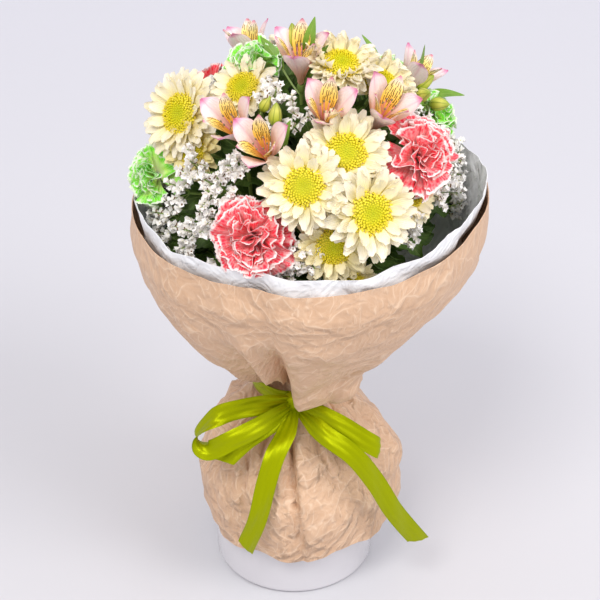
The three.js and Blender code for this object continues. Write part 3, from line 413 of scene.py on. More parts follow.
def new_group(name, inputs, outputs):
    """A node group of numbers, with the inputs at their defaults, and both ends of its wires."""
    group = bpy.data.node_groups.new(name, "ShaderNodeTree")
    for key, default in inputs.items():
        socket = group.interface.new_socket(key, in_out="INPUT", socket_type="NodeSocketFloat")
        socket.default_value = default
    for key in outputs:
        group.interface.new_socket(key, in_out="OUTPUT", socket_type="NodeSocketFloat")
    return group, group.nodes.new("NodeGroupInput").outputs, group.nodes.new("NodeGroupOutput").inputs


def paper_grain():
    """Node group of paper: fibres, slow clouds, facets of crumples as a height, wrinkles, and ridge lines.

    The facets are a sum of triangle waves, each along a direction of its own and fading in and out. The
    wrinkles are a noise folded over at its middle, so that it has curved crests.
    """
    outputs = ("Fibres", "Facets", "Wrinkles", "Ridges", "Clouds")
    group, given, result = new_group("paper_grain", {"Fibre Scale": 900.0, "Fold Scale": 1.0}, outputs)
    place = own_place(group)
    long_way = node(group, "Mapping", {"Vector": place, "Scale": (1, 1, 0.3)}).outputs["Vector"]
    fibres = noise(group, long_way, given["Fibre Scale"], 3.0)
    wander = node(group, "TexNoise", {"Vector": place, "Scale": 17.0, "Detail": 3.0}).outputs["Color"]
    shift = node(group, "VectorMath", {0: wander, "Scale": 0.045}, operation="SCALE").outputs["Vector"]
    moved = node(group, "VectorMath", {0: place, 1: shift}, operation="ADD").outputs["Vector"]
    facets, wrinkles, ridges = 0.0, 0.0, 0.0
    directions = [(0.3, 0.2, 1.0, 13), (1.1, 2.0, 0.2, 18), (2.0, 0.9, 2.6, 25), (0.7, 2.7, 1.9, 34),
                  (2.6, 1.5, 0.8, 44), (1.6, 0.4, 3.0, 58)]
    for *turn, scale in directions:
        turned = node(group, "Mapping", {"Vector": moved, "Rotation": turn}).outputs["Vector"]
        pitch = reckon(group, "MULTIPLY", given["Fold Scale"], float(scale))
        wave = node(group, "TexWave", {"Vector": turned, "Scale": pitch}, wave_profile="TRI").outputs["Fac"]
        patch = noise(group, turned, scale * 2.2, 1.0)
        shown = node(group, "MapRange", {"Value": patch, "From Min": 0.46, "From Max": 0.6}).outputs["Result"]
        share = reckon(group, "MULTIPLY", shown, 12 / scale)
        facets = reckon(group, "ADD", facets, reckon(group, "MULTIPLY", wave, share))
        line = reckon(group, "MULTIPLY", reckon(group, "POWER", wave, max(8.0, 300 / scale)), shown)
        ridges = reckon(group, "MAXIMUM", ridges, line)
    for scale, share in ((34.0, 0.5), (80.0, 0.25), (180.0, 0.1)):
        pitch = reckon(group, "MULTIPLY", given["Fold Scale"], scale)
        rough = noise(group, moved, pitch, 1.5)
        off = reckon(group, "ABSOLUTE", reckon(group, "SUBTRACT", rough, 0.5))
        wrinkles = reckon(group, "SUBTRACT", wrinkles, reckon(group, "MULTIPLY", off, share * 6))
        crest = reckon(group, "POWER", reckon(group, "SUBTRACT", 1.0, off), 60.0)
        ridges = reckon(group, "MAXIMUM", ridges, reckon(group, "MULTIPLY", crest, 0.3))
    clouds = noise(group, place, 22.0, 3.0)
    for name, value in zip(outputs, (fibres, facets, wrinkles, ridges, clouds)):
        group.links.new(value, result[name])
    return group


def lay_parts(tree):
    """The three values of a point's attribute "lay", as X, Y and Z."""
    lay = node(tree, "Attribute", attribute_name="lay").outputs["Vector"]
    return node(tree, "SeparateXYZ", {"Vector": lay}).outputs


grain = paper_grain()
kraft_look, tree, shader = finish("kraft_paper", Roughness=0.52, Specular_IOR_Level=0.5)
paper = node(tree, "Group", {"Fold Scale": 1.0}, node_tree=grain).outputs
shade = mixed(tree, paper["Clouds"], colour(217, 180, 149), colour(203, 164, 132))
shade = mixed(tree, reckon(tree, "MULTIPLY", paper["Fibres"], 0.3), shade, colour(186, 143, 104))
shade = mixed(tree, reckon(tree, "MULTIPLY", paper["Ridges"], 0.6), shade, colour(240, 212, 184))
tree.links.new(shade, shader.inputs["Base Color"])
height = reckon(tree, "ADD", reckon(tree, "MULTIPLY", paper["Fibres"], 0.06), paper["Facets"])
height = reckon(tree, "ADD", height, reckon(tree, "MULTIPLY", paper["Wrinkles"], 0.22))
smoother = {"Value": lay_parts(tree)["Y"], "From Min": 0.5, "From Max": 0.6, "To Min": 1.0, "To Max": 0.52}
strength = node(tree, "MapRange", smoother).outputs["Result"]
bumped(tree, shader, height, strength, 0.0028)
put("kraft_sheet", [kraft_ring()], [kraft_look], "kraft", ["kraft_wrapper"], sharp=75)

# Tissue liner: a sheet of white tissue paper inside the cone, gathered under the kraft at the neck. It is
# finely crinkled, stands a little above the kraft rim and has its folded corners up on the right.
TISSUE_ROWS = [(174, 25.2, 5.3), (189, 25.2, 5.3), (236, 88, 3), (284, 121, 1.6), (318, 132.5, 1),
               (352, 131.5, 0.8)]
TISSUE_THICKNESS = 0.4


def tissue_ring(columns=250, rows=66):
    """The tissue: 3 mm inside the kraft, pushed in by its own crumples, with points up and down at its edge.

    The crumples are deepest a little under the rim, so that the part over it leans out. At the right front
    the sheet comes further in and makes a ledge beside the blooms.
    """
    height, radius, pleat = rows_of(TISSUE_ROWS, rows)
    angle = even_angles(columns)
    reach, level = kraft_surface(height, radius, pleat, angle)
    upper = np.clip((height - 318) / 34, 0, 1)
    corners = 2.4 * zigzag(angle * 7 / 6.283 + 0.2 * np.sin(2 * angle)) + 1.4 * zigzag(angle * 17 / 6.283)
    level = level + upper * (13 * np.maximum(0, np.cos(angle - 0.2)) ** 2 + corners)
    place = triples(reach * np.cos(angle), reach * np.sin(angle), level)
    open_part = np.clip((height - 205) / 30, 0, 1)
    wide = 0.5 + 0.5 * np.clip(crumple(place, 11, 36), -1, 1)
    fine = 0.5 + 0.5 * np.clip(crumple(place, 12, 14), -1, 1)
    deep = near(height, 312, 26)
    turn = (angle + 1.57 + math.pi) % (2 * math.pi) - math.pi
    ledge = 19 * near(turn, 1.05, 0.42) * near(height, 313, 16)
    reach = reach - open_part * (0.4 + wide * (3 + 13 * deep) + fine * 1.6) - ledge + 3 * upper
    lay = triples(angle / 6.283, height / 352, 0 * angle)
    return sheet_ring(angle, reach, level, TISSUE_THICKNESS, lay)


tissue_look, tree, shader = finish("tissue_paper", Roughness=0.5, Specular_IOR_Level=0.3)
paper = node(tree, "Group", {"Fold Scale": 1.9}, node_tree=grain).outputs
shade = mixed(tree, paper["Clouds"], colour(250, 250, 251), colour(241, 242, 245))
tree.links.new(shade, shader.inputs["Base Color"])
height = reckon(tree, "ADD", reckon(tree, "MULTIPLY", paper["Fibres"], 0.05), paper["Facets"])
height = reckon(tree, "ADD", height, reckon(tree, "MULTIPLY", paper["Wrinkles"], 0.12))
bumped(tree, shader, height, 0.8, 0.0012)
put("tissue_sheet", [tissue_ring()], [tissue_look], "tissue", ["tissue_liner"], sharp=75)


# Ribbon: one lime satin ribbon, 16 mm wide, round the neck and tied in front in a bow with a knot, two loops,
# two long tails and a short one. It is gathered where it comes out of the knot, and its ends are cut aslant.
RIBBON_WIDTH, RIBBON_THICKNESS = 16, 0.35


def smooth_path(points, count):
    """Even steps of a smooth curve through the points.

    Each span is a cubic, whose slope at a point is half the step between that point's neighbours. One more
    point is set straight on at both ends.
    """
    knots = np.asarray(points, float)
    knots = np.vstack([2 * knots[0] - knots[1], knots, 2 * knots[-1] - knots[-2]])
    at = np.linspace(0, len(knots) - 3, count)
    span = np.minimum(at.astype(int), len(knots) - 4)
    share = (at - span)[:, None]
    before, start, end, after = (knots[span + step] for step in range(4))
    cubic = 3 * (start - end) + after - before
    square = 2 * before - 5 * start + 4 * end - after
    return start + 0.5 * share * (end - before + share * (square + share * cubic))


def thin_bodies(surface, thickness, lay, look=0):
    """Closed thin bodies from a batch of open surfaces, of the shape (bodies, rows, columns, 3).

    Each point moves half the thickness to both sides, except on the rim, whose points both sides share. The
    front is the side of the product of row and column steps. The four corner cells are split from the corner
    inwards.
    """
    bodies, rows, columns = surface.shape[:3]
    normal = unit(np.cross(np.gradient(surface, axis=1), np.gradient(surface, axis=2)))
    inner = np.s_[:, 1:-1, 1:-1]
    front = surface.copy()
    front[inner] += normal[inner] * thickness / 2
    back = surface[inner] - normal[inner] * thickness / 2
    cells = grid_faces(rows, columns)
    corners = np.array([0, (rows - 1) * (columns - 1) - 1, columns - 2, (rows - 2) * (columns - 1)])
    split = np.concatenate([cells[corners[:2]], np.roll(cells[corners[2:]], -1, axis=1)])
    split = np.concatenate([split[:, :3], split[:, [0, 2, 3]]])
    below = np.arange(rows * columns).reshape(rows, columns)
    below[1:-1, 1:-1] = rows * columns + np.arange((rows - 2) * (columns - 2)).reshape(rows - 2, -1)
    size = rows * columns + (rows - 2) * (columns - 2)
    start = np.arange(bodies)[:, None, None] * size
    faces = []
    for block in (np.delete(cells, corners, axis=0), split):
        both = np.concatenate([block, below.ravel()[block[:, ::-1]]])
        faces.append((start + both).reshape(-1, block.shape[1]))
    points = np.concatenate([front.reshape(bodies, -1, 3), back.reshape(bodies, -1, 3)], 1)
    lay = np.broadcast_to(lay, surface.shape)
    lays = np.concatenate([lay.reshape(bodies, -1, 3), lay[inner].reshape(bodies, -1, 3)], 1)
    return points, faces, lays, look


def ribbon_run(points, sides, steps, loop=False, slant=0.0):
    """A run of ribbon: its width lies along a side that turns through a row of directions.

    The half width grows from 0.4 at the knot to full within 26 mm, while lengthwise folds fade out. The slant
    moves the two corners of a cut end apart along the ribbon.
    """
    path = smooth_path(points, steps)
    along = unit(np.gradient(path, axis=0))
    side = smooth_path(sides, steps)
    side = unit(side - (side * along).sum(1, keepdims=True) * along)
    face = np.cross(side, along)
    walked = np.concatenate([[0], np.cumsum(np.linalg.norm(np.diff(path, axis=0), axis=1))])
    from_knot = np.minimum(walked, walked[-1] - walked) if loop else walked
    loose = np.clip(from_knot / 26, 0, 1)[:, None] ** 0.8
    across = np.linspace(-1, 1, 13)
    half = RIBBON_WIDTH / 2 * (0.4 + 0.6 * loose)
    folds = (1 - 0.85 * loose) * 1.7 * np.cos(across * 9.4 + 0.6) + 0.9 * across ** 2
    folds = folds + 0.7 * np.sin(across * 2.4 + walked[:, None] / 8) * loose
    end = np.clip((walked - walked[-1] + 20) / 20, 0, 1)[:, None] * slant
    surface = path[:, None] + (across * half)[..., None] * side[:, None]
    surface = surface + folds[..., None] * face[:, None] + (end * across)[..., None] * along[:, None]
    lay = triples(walked[:, None] / 100, across, 0 * across)
    return thin_bodies(surface[None], RIBBON_THICKNESS, lay[None])


def ribbon_band():
    """The band: a ring round the neck, pulled together to a height of 12 mm, with soft lengthwise folds."""
    height = np.linspace(-6, 6, 9)[:, None]
    angle = even_angles(120)
    reach = BAND_INNER + 0.6 + 0.35 * np.sin(height * 1.1 + 2 * np.sin(3 * angle))
    lay = triples(angle * 0.34, height / 6, 0 * angle)
    return sheet_ring(angle, reach, TIE_LEVEL + height, RIBBON_THICKNESS, lay)


def ribbon_knot():
    """The knot: an egg with four lengthwise folds in it, as the ribbon is wound once over the crossing."""
    turn = np.linspace(0, math.pi, 15)[1:-1, None]
    angle = even_angles(36)
    swell = 1 + 0.06 * np.cos(5 * angle + 1.5 * np.cos(turn))
    x = 8.3 * np.cos(turn) + 0 * angle
    y = -39 + 6.4 * np.sin(turn) * np.cos(angle) * swell
    z = TIE_LEVEL + 8.4 * np.sin(turn) * np.sin(angle) * swell
    points = np.stack([x, y, z], -1)
    ring = np.arange(36)
    faces = [grid_faces(13, 36, closed=True)[:, ::-1], ring[None, ::-1], ring[None] + 12 * 36]
    lay = triples(angle * 0.1, np.cos(turn), 0 * angle)
    return points, [block[:, ::-1] for block in faces], lay, 0


UPRIGHT, LEVEL, AWAY = (0, 0.45, 0.9), (1, 0.1, 0.1), (0, 1, 0.05)
LEFT_LOOP = [(2, -39, 182), (-19, -50, 186), (-40, -58, 188), (-60, -61, 182), (-76, -65, 167),
             (-68, -74, 159), (-48, -77, 171), (-24, -66, 178), (2, -39, 180)]
RIGHT_LOOP = [(0, -40, 182), (18, -56, 182), (38, -67, 177), (56, -72, 167), (67, -70, 158),
              (64, -63, 156), (50, -58, 160), (32, -54, 166), (14, -48, 174), (0, -40, 179)]
LEFT_TAIL = [(1, -39, 178), (-5, -60, 169), (-14, -78, 159), (-21, -88, 139), (-28, -93, 107),
             (-39, -90, 71)]
RIGHT_TAIL = [(2, -40, 178), (22, -68, 172), (46, -80, 159), (64, -79, 132), (81, -74, 96), (103, -62, 55)]
SHORT_TAIL = [(2, -40, 179), (-18, -56, 172), (-38, -67, 163), (-56, -73, 147)]
ribbon_shapes = [
    ribbon_band(),
    ribbon_knot(),
    ribbon_run(LEFT_LOOP, (UPRIGHT, UPRIGHT, UPRIGHT, AWAY, UPRIGHT, UPRIGHT, UPRIGHT), 90, loop=True),
    ribbon_run(RIGHT_LOOP, (UPRIGHT, UPRIGHT), 90, loop=True),
    ribbon_run(LEFT_TAIL, (LEVEL, LEVEL), 60, slant=7),
    ribbon_run(RIGHT_TAIL, ((0.5, 0.4, 0.75), (0.79, 0.33, 0.51)), 70, slant=6),
    ribbon_run(SHORT_TAIL, (UPRIGHT, UPRIGHT), 36, slant=5),
]
satin_look, tree, shader = finish("lime_satin", Roughness=0.34, Metallic=0.4, Specular_IOR_Level=0.6,
                                  Specular_Tint=(0.8, 0.85, 0.1, 1))
lay = node(tree, "Attribute", attribute_name="lay").outputs["Vector"]
wide = node(tree, "Mapping", {"Vector": lay, "Scale": (0.6, 14, 1)}).outputs["Vector"]
threads = noise(tree, wide, 9.0, 2.0)
ridge = node(tree, "TexWave", {"Vector": lay, "Scale": 60.0, "Distortion": 0.3}, bands_direction="X")
ridge = reckon(tree, "MULTIPLY", ridge.outputs["Fac"], 0.3)
aside = node(tree, "SeparateXYZ", {"Vector": lay}).outputs["Y"]
edge = reckon(tree, "POWER", reckon(tree, "ABSOLUTE", aside), 16.0)
shade = mixed(tree, threads, colour(136, 146, 0), colour(166, 175, 0))
shade = mixed(tree, reckon(tree, "MULTIPLY", edge, 0.6), shade, colour(104, 122, 0))
tree.links.new(shade, shader.inputs["Base Color"])
height = reckon(tree, "ADD", reckon(tree, "MULTIPLY", threads, 0.6), ridge)
bumped(tree, shader, height, 0.22, 0.0004)
ribbon = put("satin_ribbon", ribbon_shapes, [satin_look], "satin", ["ribbon_bow"])

# Stems: green stalks in two rings round a middle one. They stand on the vase floor, run parallel through the
# neck and part above it. Branched ones fork once, and a thin twig goes from the fork to each bloom.
DOME_CENTRE, DOME_RADIUS, DOME_HEIGHT = np.array([11, 0, 330]), 122, 132
STEM_SPACING, LEAF_THICKNESS = 6.6, 0.6
FRONT, UP = np.array([0, -1, 0]), np.array([0, 0, 1])


def dome_point(azimuth, latitude, lift=0.0):
    """A point on the dome of blooms, an egg about its centre, from angles in degrees and a lift off it."""
    turn, rise = np.radians(azimuth), np.radians(latitude)
    flat = (DOME_RADIUS + lift) * np.cos(rise)
    up = (DOME_HEIGHT + lift) * np.sin(rise)
    return DOME_CENTRE + np.stack([flat * np.cos(turn), flat * np.sin(turn), up], -1)


def dome_normal(azimuth, latitude):
    """The direction straight out of the dome at the angles."""
    turn, rise = np.radians(azimuth), np.radians(latitude)
    flat = np.cos(rise) / DOME_RADIUS
    return unit(np.stack([flat * np.cos(turn), flat * np.sin(turn), np.sin(rise) / DOME_HEIGHT], -1))


def facing(direction):
    """The matrix that takes +Z to a direction the shortest way."""
    x, y, z = direction
    over = np.array([[0, 0, x], [0, 0, y], [-x, -y, 0]])
    return np.eye(3) + over + over @ over / (1 + z)


def tubes(paths, radii, sides, lay=(0.5, 0, 0), look=0):
    """Round closed tubes along a batch of paths (bodies, steps, 3), with radii spread over the same shape."""
    bodies, steps = paths.shape[:2]
    along = unit(np.gradient(paths, axis=1))
    flattest = np.eye(3)[np.argmin(np.abs(paths[:, -1] - paths[:, 0]), axis=1)][:, None]
    first = unit(np.cross(along, np.broadcast_to(flattest, along.shape)))
    second = np.cross(along, first)
    angle = even_angles(sides)
    ring = first[:, :, None] * np.cos(angle)[:, None] + second[:, :, None] * np.sin(angle)[:, None]
    points = paths[:, :, None] + ring * np.broadcast_to(radii, paths.shape[:2])[..., None, None]
    start = np.arange(bodies)[:, None] * steps * sides
    wall = (start[..., None] + grid_faces(steps, sides, closed=True)[:, ::-1]).reshape(-1, 4)
    end = np.arange(sides)
    caps = [start + end[::-1], start + (steps - 1) * sides + end]
    return points, [wall, *caps], np.array(lay, float), look


def bundle_points(ring, angle):
    """A stem's foot and its three points in the neck, from its slot: the ring, and the angle in degrees."""
    radius = STEM_SPACING * ring * (1 if ring < 2 or angle % 60 == 0 else math.cos(math.pi / 6))
    slot = radius * np.array([np.cos(np.radians(angle)), np.sin(np.radians(angle)), 0])
    foot = slot * 2.5 + UP * (VASE_FLOOR + 0.3)
    return np.stack([foot, slot + UP * 145, slot + UP * 178.5, slot + UP * 212])


def branches(slot, heads):
    """Paths of a branched stem: the stalk up to its fork, and twigs by each head's approach to its end."""
    bundle = bundle_points(*slot)
    fork = 0.5 * bundle[-1] + 0.5 * np.mean([approach for approach, _ in heads], axis=0)
    below = 0.45 * bundle[-1] + 0.55 * fork
    start = 0.88 * fork + 0.12 * below
    stalk = smooth_path(np.vstack([bundle, below, fork]), 28)
    twigs = [smooth_path([start, (start + approach) / 2, approach, end], 14) for approach, end in heads]
    return stalk, np.stack(twigs)


def stem_shapes(stalk, twigs):
    """A stalk that thins from 2.9 mm radius to 2.3 at its fork, and twigs from 1.6 to 1.4 at the heads."""
    shapes = [tubes(stalk[None], np.linspace(2.9, 2.3, len(stalk)), 9)]
    if len(twigs):
        shapes.append(tubes(twigs, np.linspace(1.6, 1.4, twigs.shape[1]), 7))
    return shapes


def nearest(paths, place, short):
    """The point of the paths that is nearest to a place moved in by a shortening, above the neck."""
    points = np.concatenate([path.reshape(-1, 3) for path in paths])
    above_neck = 225
    points = points[points[:, 2] > above_neck]
    return points[np.argmin(np.linalg.norm(points - (place - short), axis=1))]


def growth(paths, at, length):
    """Where a leaf or bud grows: its root on a stem, its foot, its length, and an outward frame along it."""
    tip, out = dome_point(*at), dome_normal(*at[:2])
    root = nearest(paths, tip, out * length)
    forward = unit(tip - root)
    foot = tip - forward * min(length, np.linalg.norm(tip - root))
    face = out + 0.4 * FRONT
    face = unit(face - forward * (face @ forward))
    return root, foot, np.linalg.norm(tip - foot), np.stack([forward, np.cross(face, forward), face], 1)


def leaf_stalk(root, foot, basis):
    """A thin stalk from the stem to a leaf's foot, a little curved."""
    middle = (root + foot) / 2 - UP * 0.06 * np.linalg.norm(foot - root)
    path = smooth_path([root, middle, foot + basis[:, 0] * 2], 7)
    return tubes(path[None], 0.8, 5)


def lobed_leaf(paths, at, length, width, seed, rows=19, columns=9):
    """A chrysanthemum leaf: half width with three lobes a side, a furrowed midrib, and an arch along it."""
    random = np.random.default_rng(seed)
    root, foot, long, basis = growth(paths, at, length)
    u = np.linspace(0, 1, rows)[:, None]
    v = np.linspace(-1, 1, columns)
    lobes = 0.62 + 0.38 * np.abs(np.sin(math.pi * (0.15 + 2.9 * u) + 0.4 * np.sign(v)))
    half = width / 2 * (0.05 + 0.95 * np.sin(math.pi * np.clip(u, 0, 1) ** 0.75) ** 0.8) * lobes
    x = long * (u - 0.1 * (1 - u) * v ** 2 + 0.12 * np.sin(math.pi * u) * v ** 2)
    y = half * v
    z = 0.16 * long * np.sin(math.pi * u) * random.uniform(0.6, 1.2) + 0.12 * width * np.abs(v) ** 1.3
    z = z + 0.5 * np.cos(18 * u + 3 * np.abs(v)) * np.abs(v) - random.uniform(0, 0.25) * long * u ** 2
    local = triples(x, y, z)
    lay = triples(u, v, random.uniform(0, 1))
    surface = foot + local @ basis.T
    return [thin_bodies(surface[None], LEAF_THICKNESS, lay[None], 1), leaf_stalk(root, foot, basis)]


def lance_leaf(paths, at, length, width, seed):
    """An alstroemeria leaf: lance-shaped, channelled, arched and a little twisted."""
    random = np.random.default_rng(seed)
    root, foot, long, basis = growth(paths, at, length)
    u = np.linspace(0, 1, 15)[:, None]
    v = np.linspace(-1, 1, 7)
    half = width / 2 * (0.08 + np.sin(math.pi * u ** 0.8) ** 0.9)
    twist = random.uniform(-0.5, 0.5) * u
    y = half * v * np.cos(twist)
    z = half * (v * np.sin(twist) + 0.25 * v ** 2) + 0.1 * long * np.sin(math.pi * u)
    local = triples(long * u, y, z)
    lay = triples(u, v, random.uniform(0, 1))
    surface = foot + local @ basis.T
    return [thin_bodies(surface[None], LEAF_THICKNESS, lay[None], 1), leaf_stalk(root, foot, basis)]


def leaf_finish(name, dark, light, roughness):
    """Leaf material: cloudy green, with a paler midrib and side veins from the leaf's length and width."""
    material, tree, shader = finish(name, Roughness=roughness, Specular_IOR_Level=0.4)
    part = lay_parts(tree)
    cloud = noise(tree, own_place(tree), 120.0, 3.0)
    shade = mixed(tree, reckon(tree, "ADD", cloud, reckon(tree, "MULTIPLY", part["Z"], 0.3)), dark, light)
    off = reckon(tree, "ABSOLUTE", part["Y"])
    slope = reckon(tree, "MULTIPLY", part["X"], 9.0)
    slope = reckon(tree, "SUBTRACT", slope, reckon(tree, "MULTIPLY", off, 2.6))
    wave = reckon(tree, "ABSOLUTE", reckon(tree, "SINE", reckon(tree, "MULTIPLY", slope, 3.1416)))
    veins = reckon(tree, "POWER", reckon(tree, "SUBTRACT", 1.0, wave), 4.0)
    rib = reckon(tree, "POWER", reckon(tree, "SUBTRACT", 1.0, off), 22.0)
    lines = reckon(tree, "MAXIMUM", rib, reckon(tree, "MULTIPLY", veins, 0.4))
    shade = mixed(tree, reckon(tree, "MULTIPLY", lines, 0.55), shade, colour(166, 190, 104))
    tree.links.new(shade, shader.inputs["Base Color"])
    height = reckon(tree, "SUBTRACT", reckon(tree, "MULTIPLY", cloud, 0.5), lines)
    bumped(tree, shader, height, 0.4, 0.0006)
    return material


stem_look = leaf_finish("green_stem", colour(96, 126, 58), colour(140, 166, 84), 0.5)
mum_leaf_look = leaf_finish("chrysanthemum_leaf", colour(44, 66, 30), colour(92, 122, 52), 0.55)
lily_leaf_look = leaf_finish("alstroemeria_leaf", colour(74, 116, 36), colour(126, 164, 60), 0.4)

# Chrysanthemums: thirteen heads of cream petals in layers round a yellow disc, on five branched stems with
# lobed leaves. Each head has a place on the dome (azimuth, latitude, lift), a radius and its stem. The
# carnations' places are here as well, because petals bend clear of every head.
MUMS = [
    (-69, 26, 8, 31, "front"), (-92, 35, 7, 29, "centre"), (-73, 45, -1, 30, "centre"),
    (-81, 16, -9, 26, "front"), (-170, 42, 4, 31, "left"), (-159, 36, -12, 22, "left"),
    (-156, 64, -6, 24, "left"), (-47, 75, 6, 27, "top"), (-16, 63, -4, 26, "top"),
    (-74, 1, -14, 18, "front"), (-44, 27, -12, 24, "front"), (98, 40, 3, 29, "back"),
    (62, 22, -2, 27, "back"),
]
CARNATIONS = {
    "pink_front": (-110, 18, 5, 31, (2, 240)), "pink_right": (-38, 37, 6, 30, (2, 330)),
    "pink_back": (136, 30, 2, 28, (2, 120)), "green_left": (-171, 18, 2, 26, (2, 180)),
    "green_top": (168, 70, -2, 24, (1, 120)), "green_behind": (29, 51, -5, 21, (1, 60)),
    "green_right": (11, 36, -2, 22, (2, 30)),
}
MUM_STEMS = {
    "front": ((2, 300), [(-62, 4, -12, 34, 20), (-95, 24, -14, 30, 18), (-52, 38, -14, 30, 18)]),
    "centre": ((1, 300), [(-100, 8, -14, 34, 20), (-84, 52, -16, 28, 16)]),
    "left": ((1, 180), [(-152, 18, -8, 38, 24), (-138, 26, -16, 32, 18), (160, 38, -8, 38, 24)]),
    "top": ((0, 0), [(-62, 66, -14, 28, 16), (-14, 44, -10, 36, 22), (60, 70, -8, 36, 22)]),
    "back": ((2, 90), [(82, 14, -6, 40, 26), (118, 22, -6, 40, 26), (72, 50, -10, 38, 24),
                       (38, 30, -8, 40, 26), (100, 62, -8, 38, 24)]),
}
# By number from 0, the chrysanthemums first and then the carnations: heads that are still half closed, heads
# with golden petals, and heads that nod to the front by a share.
UPRIGHT_HEADS = (7, 8)
GOLDEN_HEADS = {5: 2, 3: 0.9, 9: 0.9, 10: 0.5}
NODS = {4: 0.7, 5: 0.7, 6: 0.5, 7: 0.15, 8: 0.3, 16: 0.5}
blooms = [*MUMS, *CARNATIONS.values()]
bloom_centres = np.array([dome_point(*bloom[:3]) for bloom in blooms])
bloom_axes = np.array([dome_normal(*bloom[:2]) for bloom in blooms])
for number, nod in NODS.items():
    bloom_axes[number] = unit(bloom_axes[number] + nod * FRONT)
bloom_radii = np.array([bloom[3] for bloom in blooms])
PETAL_THICKNESS = 0.45


def petal_bend(centre, matrix, turns, reach, pitch, own):
    """How much further petals bend, in radians, so that their tips pass over or under the heads next to them.

    A tip that lies inside a neighbour's slab, 9 mm above to 6 mm below its face, moves to the nearer side.
    """
    bend = np.zeros(len(turns))
    for _ in range(3):
        slope = pitch + bend
        local = np.stack([np.cos(turns) * np.cos(slope), np.sin(turns) * np.cos(slope), np.sin(slope)], -1)
        tips = centre + reach[:, None] * local @ matrix.T
        apart = tips[:, None] - bloom_centres
        above = (apart * bloom_axes).sum(-1)
        beside = np.linalg.norm(apart - above[..., None] * bloom_axes, axis=-1)
        inside = (beside < 0.92 * bloom_radii) & (above > -6) & (above < 9)
        inside[:, own] = False
        move = np.where(above > 0, 10 - above, -7 - above) * inside
        strongest = move[np.arange(len(turns)), np.argmax(np.abs(move), axis=1)]
        bend = np.clip(bend + 0.7 * strongest / reach, -0.5, 0.7)
    return bend


def petal_table(layers):
    """A row for each petal of a head: its turn, then its layer's values.

    The turns of a layer are evenly spaced, and each layer starts half a step on.
    """
    rows = []
    for layer, (count, *values) in enumerate(layers):
        rows += [(2 * math.pi * (i + 0.5 * layer) / count, *values) for i in range(count)]
    return np.array(rows)


def turned_points(x, y, z, turn):
    """Points turned about Z by an angle in radians."""
    cos, sin = np.cos(turn), np.sin(turn)
    return np.stack([x * cos - y * sin, x * sin + y * cos, z], -1)


def cream_petals(index):
    """A head's petals in four layers, each given as count, pitch, length, root height and width.

    Each petal curves up from the hub along an arc, whose slope is the sum of its pitch and a bend, with a
    round notched tip, raised edges and three lengthwise ridges.
    """
    radius = MUMS[index][3]
    random = np.random.default_rng(20 + index)
    centre, matrix = bloom_centres[index], facing(bloom_axes[index])
    layers = [(16, 3, 0.94, -2.4, 0.31), (14, 12, 0.91, -1.8, 0.31), (12, 21, 0.84, -1.2, 0.3),
              (9, 32, 0.7, -0.5, 0.26)]
    layers = [(round(n * (0.85 if radius < 25 else 1)), *rest) for n, *rest in layers]
    table = petal_table(layers)
    count = len(table)
    turns = table[:, 0] + random.uniform(-0.09, 0.09, count)
    pitch = np.radians(table[:, 1] + random.uniform(-8, 8, count) + (10 if index in UPRIGHT_HEADS else 0))
    long = radius * table[:, 2] * random.uniform(0.9, 1.06, count)
    pitch = pitch + petal_bend(centre, matrix, turns, long + 0.2 * radius, pitch, index)
    wide = radius * table[:, 4] * random.uniform(0.88, 1.12, count)
    u = np.linspace(0, 1, 9)[None, :, None]
    v = np.linspace(-1, 1, 7)[None, None]
    pitch, long, wide, root = (x[:, None, None] for x in (pitch, long, wide, table[:, 3]))
    droop = random.uniform(0.2, 1.0, (count, 1, 1))
    slope = pitch * 1.5 * u ** 0.7 - droop * (u - 0.55).clip(0) ** 1.5
    step = np.concatenate([np.zeros((count, 1, 1)), np.diff(u, axis=1) * np.ones((count, 1, 1))], axis=1)
    x = 0.2 * radius + long * np.cumsum(step * np.cos(slope), axis=1)
    z = root + long * np.cumsum(step * np.sin(slope), axis=1)
    point = 0.42 if index in UPRIGHT_HEADS else 0.22
    x = x - long * (point * (1 - np.sqrt(1 - 0.96 * v ** 2)) * u ** 4 + 0.035 * near(v, 0, 0.3) * u ** 8)
    half = wide / 2 * (0.34 + 0.66 * np.sin(math.pi * np.minimum(u * 0.72, 0.5)) - 0.38 * u ** 8)
    twist = random.uniform(-0.28, 0.28, (count, 1, 1)) * u
    z = z + half * (0.3 * v ** 2 + v * twist) + 0.22 * np.cos(3 * math.pi * v) * np.sin(math.pi * u)
    y = half * v + long * random.uniform(-0.08, 0.08, (count, 1, 1)) * u ** 2
    local = turned_points(x, y, z, turns[:, None, None])
    chance = random.uniform(0, 1, (count, 1, 1)) + GOLDEN_HEADS.get(index, 0)
    lay = triples(u, v, chance)
    return thin_bodies(centre + local @ matrix.T, PETAL_THICKNESS, lay)


def turned_at(profile, sides, centre, matrix, lay=(0.5, 0, 0), look=0, ribs=0.0, count=5):
    """A turned profile placed by a matrix, its radius going in and out round it by a share."""
    points, faces = rings_of(profile, sides)
    angle = even_angles(sides)
    points[..., :2] *= (1 + ribs * np.cos(count * angle))[:, None]
    return centre + points @ matrix.T, faces, np.array(lay, float), look


def cream_hub(index):
    """The hub that the petals grow from: a low turned cone under the disc."""
    radius = MUMS[index][3]
    profile = [(radius * 0.2, -3.5), (radius * 0.36, -3.4), (radius * 0.44, -1), (radius * 0.3, 0),
               (radius * 0.1, 0.2)]
    return turned_at(profile, 16, bloom_centres[index], facing(bloom_axes[index]), (0.1, 0, 0.5))


def disc_floor(radius):
    """Height of a disc's ground at a radius from its middle, as a share: a low dome with a dimple."""
    return 3.3 * (1 - radius ** 3.2) - 0.9 * near(radius, 0, 0.3)


GOLDEN_ANGLE = 2.39996


